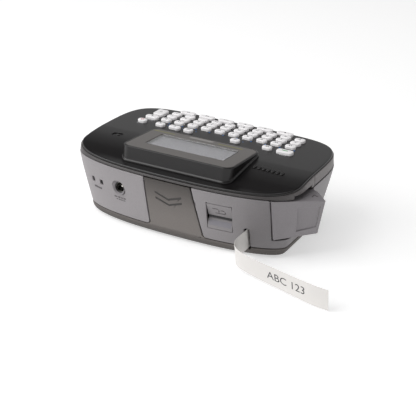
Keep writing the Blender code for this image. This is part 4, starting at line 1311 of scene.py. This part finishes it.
@dataclass
class Display:
    """Wedge-shaped display housing with its panel, window and glass."""

    finishes: Finishes
    span_x: tuple[float, float] = (-49.5, 51.0)
    span_y: tuple[float, float] = (-4.6, 51.0)
    rear_top: float = 72.2
    front_top: float = 69.0
    corner: float = 8.0
    rear_flare: float = 2.2
    view_x: tuple[float, float] = (-34.8, 36.2)
    view_y: tuple[float, float] = (8.0, 35.4)

    def top(self, y: float) -> float:
        """Sloping top of the display."""
        return self.front_top + (self.rear_top - self.front_top) * (y - self.span_y[0]) / (
            self.span_y[1] - self.span_y[0])

    def under(self, drop: float) -> Callable[[float], float]:
        """Level that lies drop below the top."""
        return lambda y: self.top(y) - drop

    def plan_at(self, inset: float) -> Plan:
        """The housing's plan moved inwards."""
        centre = (sum(self.span_x) / 2, sum(self.span_y) / 2)
        size = (self.span_x[1] - self.span_x[0], self.span_y[1] - self.span_y[0])
        return shrinking(centre, size, self.corner, 10)(inset)

    def view_at(self, grow: float) -> Plan:
        """The viewing opening, grown on all sides."""
        centre = (sum(self.view_x) / 2, sum(self.view_y) / 2)
        size = (self.view_x[1] - self.view_x[0] + 2 * grow, self.view_y[1] - self.view_y[0] + 2 * grow)
        return rounded_plan(centre, size, 1.0 + max(0.0, grow), 4)

    def build(self) -> None:
        """Build the housing, panel, window and glass."""
        self.build_housing()
        self.build_panel()

    def build_housing(self) -> None:
        """The wedge, with a small lip where it stands on the deck."""
        def foot(extra: float) -> Level:
            return lambda y: DECK.height(y) + GAP + extra
        def flared(inset: float, reach: float) -> Plan:
            middle = sum(self.span_y) / 2
            return [(x, y + reach * max(0.0, min(1.0, (y - middle) / 12))) for x, y in self.plan_at(inset)]
        rings = []
        for inset, extra in ((-0.5, -0.1), (-0.5, 0.9), (-0.3, 1.3), (0.2, 1.7), (0.5, 2.1)):
            rings.append(at_level(flared(inset, self.rear_flare), foot(extra)))
        for inset, drop in ((0.15, 1.1), (0.2, 0.6), (0.5, 0.25), (0.95, 0.05), (1.3, 0.0)):
            rings.append(at_level(self.plan_at(inset), self.under(drop)))
        for inset, drop in ((1.6, 0.05), (1.65, 1.2), (8.0, 1.2), (8.0, 2.0), (2.6, 2.2)):
            rings.append(at_level(self.plan_at(inset), self.under(drop)))
        rings.append(at_level(self.plan_at(2.6), foot(-0.1)))
        piece = as_object("display_hood", skin(rings, looped=True))
        deliver(piece, "casing", self.finishes.deck, ["display_housing"], 40)

    def build_panel(self) -> None:
        """The printed panel, the clear window and the glass under it."""
        panel = as_object("display_panel", soft_prism(lambda inset: self.plan_at(1.8 + inset),
                                                      self.under(1.0), self.under(0.02), 0.0, 0.25))
        narrow, wide = self.view_at(GAP), self.view_at(GAP + 0.5)
        opening = skin([at_level(narrow, 60.0), at_level(narrow, self.under(0.5)),
                        at_level(wide, self.under(0.0)), at_level(wide, 90.0)])
        carve(panel, opening)
        deliver(panel, "casing", self.finishes.bezel, ["display_bezel"], 30)
        window = soft_prism(lambda inset: self.view_at(-inset), self.under(1.1), self.under(0.35), 0.0, 0.1)
        deliver(as_object("display_pane", window), "casing", self.finishes.window,
                ["display_window"])
        glass = soft_prism(lambda inset: self.view_at(2.0 - inset), self.under(4.4), self.under(2.7),
                           0.0, 0.1)
        deliver(as_object("display_glass", glass), "casing", self.finishes.lcd, ["lcd_module"])
        tab = soft_prism(lambda inset: rounded_plan((3.0, 0.9), (22.0 - 2 * inset, 3.6 - 2 * inset), 1.0, 3),
                         self.under(0.2), self.under(0.0), 0.0, 0.1)
        deliver(as_object("panel_tab", tab), "casing", self.finishes.panel_tab)
        lines = [prism(rounded_plan((x, 2.4), (length, 0.9), 0.3, 2), self.under(0.1), self.under(-0.03))
                 for x, length in ((37.5, 20.0), (-24.5, 22.0))]
        deliver(as_object("panel_lines", gathered(lines)), "casing", self.finishes.ink_olive)


# ------------------------------------------------------------------ rear fittings


@dataclass
class RearFittings:
    """The power socket and the backing peeler."""

    finishes: Finishes
    casing: Casing
    bore_r: float = 4.3
    pin_r: float = 1.1
    peeler_depth: float = 3.2
    peeler_back: float = 9.0
    peeler_slot: tuple[float, float] = (30.2, 31.8)
    peeler_z: float = 30.0

    def build(self) -> None:
        """Build the socket and the peeler."""
        self.build_socket()
        self.build_peeler()

    def build_socket(self) -> None:
        """A black barrel with a bright contact sleeve and pin."""
        place = (SHAPE.on_rear(self.casing.socket_x, self.casing.socket_z, False)
                 @ Matrix.Rotation(-math.pi / 2, 4, "X"))
        outer, bore = self.casing.socket_r, self.bore_r
        profile = [(0.0, -13.5), (outer, -13.5), (outer, -1.5), (bore + 0.3, -1.5), (bore, -1.8),
                   (bore, -10.5), (0.0, -10.5)]
        barrel = placed(turned(profile, 64), place)
        deliver(as_object("socket_barrel", barrel), "casing", self.finishes.black, ["dc_jack"])
        pin = [(0.0, -10.6), (self.pin_r, -10.6), (self.pin_r, -5.1), (self.pin_r - 0.4, -4.72), (0.0, -4.7)]
        wide, narrow = bore - 0.05, bore - 0.4
        sleeve = [(wide, -9.5), (wide, -3.0), (narrow, -3.0), (narrow, -9.5), (wide, -9.5)]
        contacts = [placed(turned(pin, 32), place), placed(turned(sleeve, 48), place)]
        deliver(as_object("socket_contacts", gathered(contacts)), "casing", self.finishes.nickel)
        collar = [(outer, -1.4), (outer, 0.0), (outer - 0.5, -0.1), (bore + 0.7, -1.0), (bore + 0.4, -1.4),
                  (outer, -1.4)]
        deliver(as_object("socket_collar", placed(turned(collar, 64), place)), "casing", self.finishes.lever)

    def peeler_profile(self) -> list[tuple[float, float]]:
        """Section of the peeler: a sloping face over the slot and a curved lip under it."""
        middle = sum(self.casing.window_x) / 2
        low, high = self.casing.window_z
        slot_low, slot_high = self.peeler_slot
        lean = SHAPE.rear_y(middle, self.peeler_z)

        def wall(z: float) -> float:
            return SHAPE.rear_y(middle, z) - lean - 0.1
        points = [(wall(high), high), (wall(high) - self.peeler_back, high), (-self.peeler_back, low),
                  (wall(low), low), (wall(low + 2), low + 2)]
        for step in range(1, 11):
            angle = math.pi / 2 * step / 10
            points.append((wall(low + 2) - 3.6 * (1 - math.cos(angle)),
                           low + 2 + (slot_low - low - 2) * math.sin(angle)))
        back = -self.peeler_depth - 3.0
        return points + [(back, slot_low), (back, slot_high), (-self.peeler_depth, slot_high)]

    def build_peeler(self) -> None:
        """The insert, its cool grey lip and a small moulded picture of a peeling label."""
        half = (self.casing.window_x[1] - self.casing.window_x[0]) / 2
        place = SHAPE.on_rear(sum(self.casing.window_x) / 2, self.peeler_z, False)
        profile = self.peeler_profile()
        body = skin([[Vector((x, y, z - self.peeler_z)) for y, z in profile] for x in (-half, half)])
        insert = as_object("peeler_insert", placed(body, place))
        soften(insert, 0.25)
        deliver(insert, "casing", self.finishes.casing, ["backing_peeler"])
        lip_low, lip_high = 23.4, 30.12
        curve = [(y, z) for y, z in profile if lip_low < z < lip_high and y > -self.peeler_depth]
        inner, outer = ([(y + grow, z) for y, z in curve] for grow in (-0.3, 0.12))
        lip = skin([[Vector((x, y, z - self.peeler_z)) for y, z in outer + inner[::-1]]
                    for x in (-half + 1.0, half - 1.0)])
        deliver(as_object("peeler_lip", placed(lip, place)), "casing", self.finishes.lip)
        slot_low, slot_high = self.peeler_slot
        # Painted shade: a black block fills the back of the slot, where its inside lies in shade.
        pocket = box((-half + 0.8, -self.peeler_depth - 1.4, slot_low - self.peeler_z + 0.05),
                     (half - 0.8, -self.peeler_depth + 0.25, slot_high - self.peeler_z - 0.05))
        deliver(as_object("peeler_slot", placed(pocket, place)), "casing", self.finishes.black)
        marks = []
        top_y = profile[0][0]
        face_slope = (top_y + self.peeler_depth) / (self.casing.window_z[1] - self.peeler_slot[1])
        for x, z, width, height in ((3.4, 39.6, 5.0, 0.5), (0.6, 38.2, 0.5, 3.0), (-2.6, 38.6, 3.0, 0.5),
                                    (-4.6, 37.2, 0.5, 3.2), (0.0, 35.2, 8.0, 0.5)):
            y = top_y - (self.casing.window_z[1] - z) * face_slope
            z -= self.peeler_z
            marks.append(box((x - width / 2, y - 0.4, z - height / 2),
                             (x + width / 2, y + 0.25, z + height / 2)))
        deliver(as_object("peeler_marks", placed(gathered(marks), place)), "casing", self.finishes.relief)


# ------------------------------------------------------------------ lever and label


@dataclass
class CutterLever:
    """Corner lever with a thumb pad and an arrow."""

    finishes: Finishes
    top: float = 53.7
    pivot: tuple[float, float] = (-79.0, 43.5)
    arrow_at: tuple[float, float] = (-109.0, 24.0)
    arrow_turn: float = 215.0
    top_plan: tuple[tuple[float, float], ...] = (
        (-84.95, 52.2), (-119.8, 27.6), (-109.0, 15.6), (-102.0, 12.0), (-99.5, 14.0), (-79.5, 40.8),
        (-79.2, 47.5))
    low_plan: tuple[tuple[float, float], ...] = (
        (-85.7, 44.6), (-112.6, 20.5), (-104.0, 12.4), (-101.0, 12.2), (-98.5, 14.2), (-80.6, 38.5),
        (-82.4, 41.0))

    def low_z(self, x: float) -> float:
        """Height of the lever's sloping underside."""
        return 18.0 + (-86.0 - x) * 0.11

    def on_face(self, across: float, down: float) -> Vector:
        """Point on the rear face, from the hinge side to the tip and from the top down."""
        corners = [Vector((*self.top_plan[0], self.top)), Vector((*self.top_plan[1], self.top)),
                   Vector((*self.low_plan[0], self.low_z(self.low_plan[0][0]))),
                   Vector((*self.low_plan[1], self.low_z(self.low_plan[1][0])))]
        return corners[0].lerp(corners[1], across).lerp(corners[2].lerp(corners[3], across), down)

    def face_normal(self) -> Vector:
        """Outward normal of the rear face."""
        along = self.on_face(1, 0.5) - self.on_face(0, 0.5)
        normal = along.cross(self.on_face(0.5, 1) - self.on_face(0.5, 0)).normalized()
        return normal if normal.y > 0 else -normal

    def build(self) -> None:
        """Build the lever with its bore, pad and arrow."""
        low = [Vector((x, y, self.low_z(x))) for x, y in self.low_plan]
        high = [Vector((x, y, self.top)) for x, y in self.top_plan]
        body = skin([low, high])
        bmesh.ops.triangulate(body, faces=body.faces[:])
        piece = as_object("lever_shell", body)
        x, y = self.pivot
        carve(piece, placed(rod(3.0, 30.0, 44.0), shifted(x, y)), Cut.ADD)
        spring = skin([[Vector((*p, z)) for p in ((-87, 45), (-87, 38), (-75, 36), (-75, 48.4))]
                       for z in (44.3, 51.6)])
        carve(piece, spring)
        carve(piece, placed(rod(1.8, 10.0, 60.0), shifted(x, y)))
        normal = self.face_normal()
        pad = [self.on_face(*spot) for spot in ((0.5, 0.2), (0.93, 0.16), (0.93, 0.78), (0.5, 0.84))]
        sunk = skin([[spot + normal * off for spot in pad] for off in (-0.55, 4.0)])
        bmesh.ops.triangulate(sunk, faces=sunk.faces[:])
        carve(piece, sunk)
        soften(piece, 0.45, 3)
        deliver(piece, "cutter_lever", self.finishes.lever, ["cutter_lever"])
        bars = []
        for turn, side in ((32.0, 1), (-32.0, -1)):
            shape = box((-0.4, -2.2, self.top - 0.3), (0.4, 2.2, self.top + 0.16))
            shape = placed(shape, shifted(side * -1.1, 0.0, 0.0, -turn))
            bars.append(placed(shape, shifted(*self.arrow_at, 0.0, self.arrow_turn)))
        deliver(as_object("lever_arrow", gathered(bars)), "cutter_lever", self.finishes.relief)


@dataclass
class Label:
    """Printed label that leaves its slot on edge, curls round and ends free."""

    finishes: Finishes
    width: float = 18.0
    thickness: float = 0.26
    edge_round: float = 0.08
    per_span: int = 12
    print_end: float = 20.0
    print_size: float = 9.5
    route: tuple[tuple[float, float, float, float], ...] = (
        (-66.0, 12.0, 16.5, 0), (-66.0, 34.0, 16.5, 0), (-66.0, 52.0, 16.5, 0), (-65.7, 60.0, 16.2, 0),
        (-65.6, 68.0, 15.6, 2), (-67.4, 74.5, 15.0, 6), (-72.0, 79.2, 14.2, 11), (-80.0, 82.2, 13.2, 14),
        (-92.0, 84.8, 12.0, 14), (-108.0, 87.8, 11.0, 12), (-124.0, 91.4, 10.3, 10), (-140.0, 95.0, 9.9, 7),
        (-153.6, 96.6, 9.7, 7))

    def stations(self) -> list[tuple[float, ...]]:
        """Smooth curve through the route."""
        padded = [self.route[0], *self.route, self.route[-1]]
        found = []
        for a, b, c, d in zip(padded, padded[1:], padded[2:], padded[3:]):
            for step in range(self.per_span):
                t = step / self.per_span
                found.append(tuple(
                    0.5 * (2 * q + (r - p) * t + (2 * p - 5 * q + 4 * r - s) * t * t
                           + (3 * q - p - 3 * r + s) * t ** 3) for p, q, r, s in zip(a, b, c, d)))
        return found + [self.route[-1]]

    def frames(self) -> list[tuple[float, Vector, Vector, Vector]]:
        """Length so far, middle, direction up the tape and direction out of its printed face."""
        stations = self.stations()
        found, length = [], 0.0
        for i, (x, y, z, lean) in enumerate(stations):
            before, after = stations[max(0, i - 1)], stations[min(len(stations) - 1, i + 1)]
            along = Vector((after[0] - before[0], after[1] - before[1], 0)).normalized()
            side = Vector((along.y, -along.x, 0))
            tilt = math.radians(lean)
            up = Vector((0, 0, math.cos(tilt))) + side * math.sin(tilt)
            out = side * math.cos(tilt) - Vector((0, 0, math.sin(tilt)))
            middle = Vector((x, y, z))
            if found:
                length += (middle - found[-1][1]).length
            found.append((length, middle, up, out))
        return found

    def build(self) -> None:
        """Build the strip and its print."""
        frames = self.frames()
        rings = []
        half, thick = self.width / 2, self.thickness / 2
        side, face = half - self.edge_round, thick - self.edge_round
        corners = ((-half, -face), (-side, -thick), (side, -thick), (half, -face),
                   (half, face), (side, thick), (-side, thick), (-half, face))
        for _, middle, up, out in frames:
            rings.append([middle + up * a + out * b for a, b in corners])
        deliver(as_object("label_strip", skin(rings)), "casing", self.finishes.tape,
                ["label_tape"])
        self.build_print(frames)

    def build_print(self, frames: list[tuple[float, Vector, Vector, Vector]]) -> None:
        """Letters that follow the tape's curve, on the face that looks to the rear."""
        bm = lettering("ABC 123", self.print_size, 0.02, 3, "LEFT")
        start = frames[-1][0] - self.print_end - max(vert.co.x for vert in bm.verts)
        for vert in bm.verts:
            vert.co = self.on_tape(frames, start + vert.co.x, vert.co.y, vert.co.z)
        deliver(as_object("label_print", bm), "casing", self.finishes.print_black, (), 30)

    def on_tape(self, frames: list[tuple[float, Vector, Vector, Vector]], along: float, across: float,
                lift: float) -> Vector:
        """Point on the tape's rear face.

        Args:
            frames: The tape's frames.
            along: Distance along the tape.
            across: Distance up the tape from its middle.
            lift: Height over its face.

        Returns:
            The point.
        """
        for (a, mid_a, up_a, out_a), (b, mid_b, up_b, out_b) in zip(frames, frames[1:]):
            if along <= b:
                break
        share = (along - a) / (b - a)
        middle, up, out = mid_a.lerp(mid_b, share), up_a.lerp(up_b, share), out_a.lerp(out_b, share)
        return middle + up * across + out * (self.thickness / 2 + 0.03 + lift)


# ------------------------------------------------------------------ inner pieces and studio


@dataclass
class InnerPieces:
    """CAD nodes that keep their shape and only take a finish."""

    finishes: Finishes

    def dress(self) -> None:
        """Give each inner node its material."""
        names = {
            "steel": ["lever_pivot_pin", "lever_return_spring", "cutter_blade", "feed_motor", "chassis_plate",
                      *(f"chassis_screw_{k}" for k in range(1, 5))],
            "brass": ["print_head", "cell_contacts_left", "cell_contacts_right"],
            "board": ["key_board", "main_board"],
            "black": ["cutter_blade_carrier"],
            "rubber": ["platen_roller"],
            "acetal": ["platen_gear", "idler_gear", "motor_pinion"],
            "spool": ["tape_spool", "ribbon_spool"],
            "cassette": ["cassette_shell"],
            "jacket": [f"cell_{k}" for k in range(1, 7)],
        }
        for finish, nodes in names.items():
            for name in nodes:
                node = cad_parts[name]
                node.data.materials.clear()
                node.data.materials.append(getattr(self.finishes, finish))
                log.info("%s: %s", name, finish)


@dataclass
class Studio:
    """White table, soft lights and the camera."""

    camera_at: tuple[float, float, float] = (-0.3808, 0.7348, 0.3911)
    camera_turn: tuple[float, float, float] = (65.099, -1.486, -151.422)
    lens: float = 92.65
    shift_x: float = 0.0318

    def build(self) -> None:
        """Make the camera, floor, lights and surroundings."""
        data = bpy.data.cameras.new("camera")
        data.lens, data.sensor_width, data.shift_x = self.lens, 36.0, self.shift_x
        data.clip_start, data.clip_end = 0.01, 50.0
        camera = bpy.data.objects.new("camera", data)
        camera.location = self.camera_at
        camera.rotation_euler = Euler([math.radians(a) for a in self.camera_turn], "XYZ")
        bpy.context.scene.collection.objects.link(camera)
        bpy.context.scene.camera = camera
        self.build_floor()
        self.build_surroundings()
        self.add_light("overhead", (0.3, 0.2, 1.9), (0.0, 0.0, 0.0), 1.8, 12.0)
        self.add_light("main", (0.95, 1.1, 1.35), (0.0, 0.0, 0.03), 1.5, 21.0)
        self.add_light("left_side", (1.6, 0.8, 0.8), (0.0, 0.0, 0.03), 0.9, 6.0)
        self.add_light("right_side", (-1.6, -0.2, 0.7), (0.0, 0.0, 0.03), 0.7, 1.6)
        bpy.context.scene.view_settings.view_transform = "Standard"

    def build_floor(self) -> None:
        """A wide white table."""
        bm = bmesh.new()
        bmesh.ops.create_grid(bm, x_segments=1, y_segments=1, size=6000.0)
        floor = as_object("floor", bm)
        made = bpy.data.materials.new("painted_board_white")
        made.use_nodes = True
        values = {"Base Color": linear("DEDEDE"), "Roughness": 0.9, "Specular IOR Level": 0.2,
                  "Emission Color": (1.0, 1.0, 1.0, 1.0), "Emission Strength": 0.5}
        for name, value in values.items():
            made.node_tree.nodes["Principled BSDF"].inputs[name].default_value = value
        floor.data.materials.append(made)

    def build_surroundings(self) -> None:
        """Bright near the horizon and dim overhead, so that dark plastic keeps its depth."""
        world = bpy.data.worlds.new("surroundings")
        world.use_nodes = True
        tree = world.node_tree
        tree.nodes.clear()
        place = add_node(tree, "ShaderNodeTexCoord").outputs["Generated"]
        height = add_node(tree, "ShaderNodeSeparateXYZ", None, Vector=place).outputs["Z"]
        ramp = add_node(tree, "ShaderNodeValToRGB", None, Fac=height)
        stops = ramp.color_ramp.elements
        stops[0].position, stops[0].color = 0.35, (0.6, 0.6, 0.6, 1)
        stops[1].position, stops[1].color = 0.62, (0.04, 0.04, 0.04, 1)
        light = add_node(tree, "ShaderNodeBackground", None, Color=ramp.outputs["Color"], Strength=1.0)
        add_node(tree, "ShaderNodeOutputWorld", None, Surface=light.outputs["Background"])
        bpy.context.scene.world = world

    def add_light(self, name: str, place: tuple[float, ...], aim: tuple[float, ...], size: float,
                  power: float) -> None:
        """Add a square soft light.

        Args:
            name: Its name.
            place: Where it stands, in metres.
            aim: What it points at.
            size: Its side, in metres.
            power: Its power in watts.
        """
        data = bpy.data.lights.new(name, "AREA")
        data.size, data.energy = size, power
        light = bpy.data.objects.new(name, data)
        light.location = place
        light.rotation_euler = (Vector(aim) - Vector(place)).to_track_quat("-Z", "Y").to_euler()
        bpy.context.scene.collection.objects.link(light)


def main() -> None:
    """Build the whole scene."""
    logging.basicConfig(level=logging.INFO, format="%(message)s")
    Studio().build()
    finishes = Finishes()
    casing = Casing(finishes)
    keyboard = Keyboard(finishes)
    for part in (casing, BottomCover(finishes, casing), keyboard, Deck(finishes, keyboard), Display(finishes),
                 RearFittings(finishes, casing), CutterLever(finishes), Label(finishes)):
        part.build()
    InnerPieces(finishes).dress()


if __name__ == "__main__":
    main()
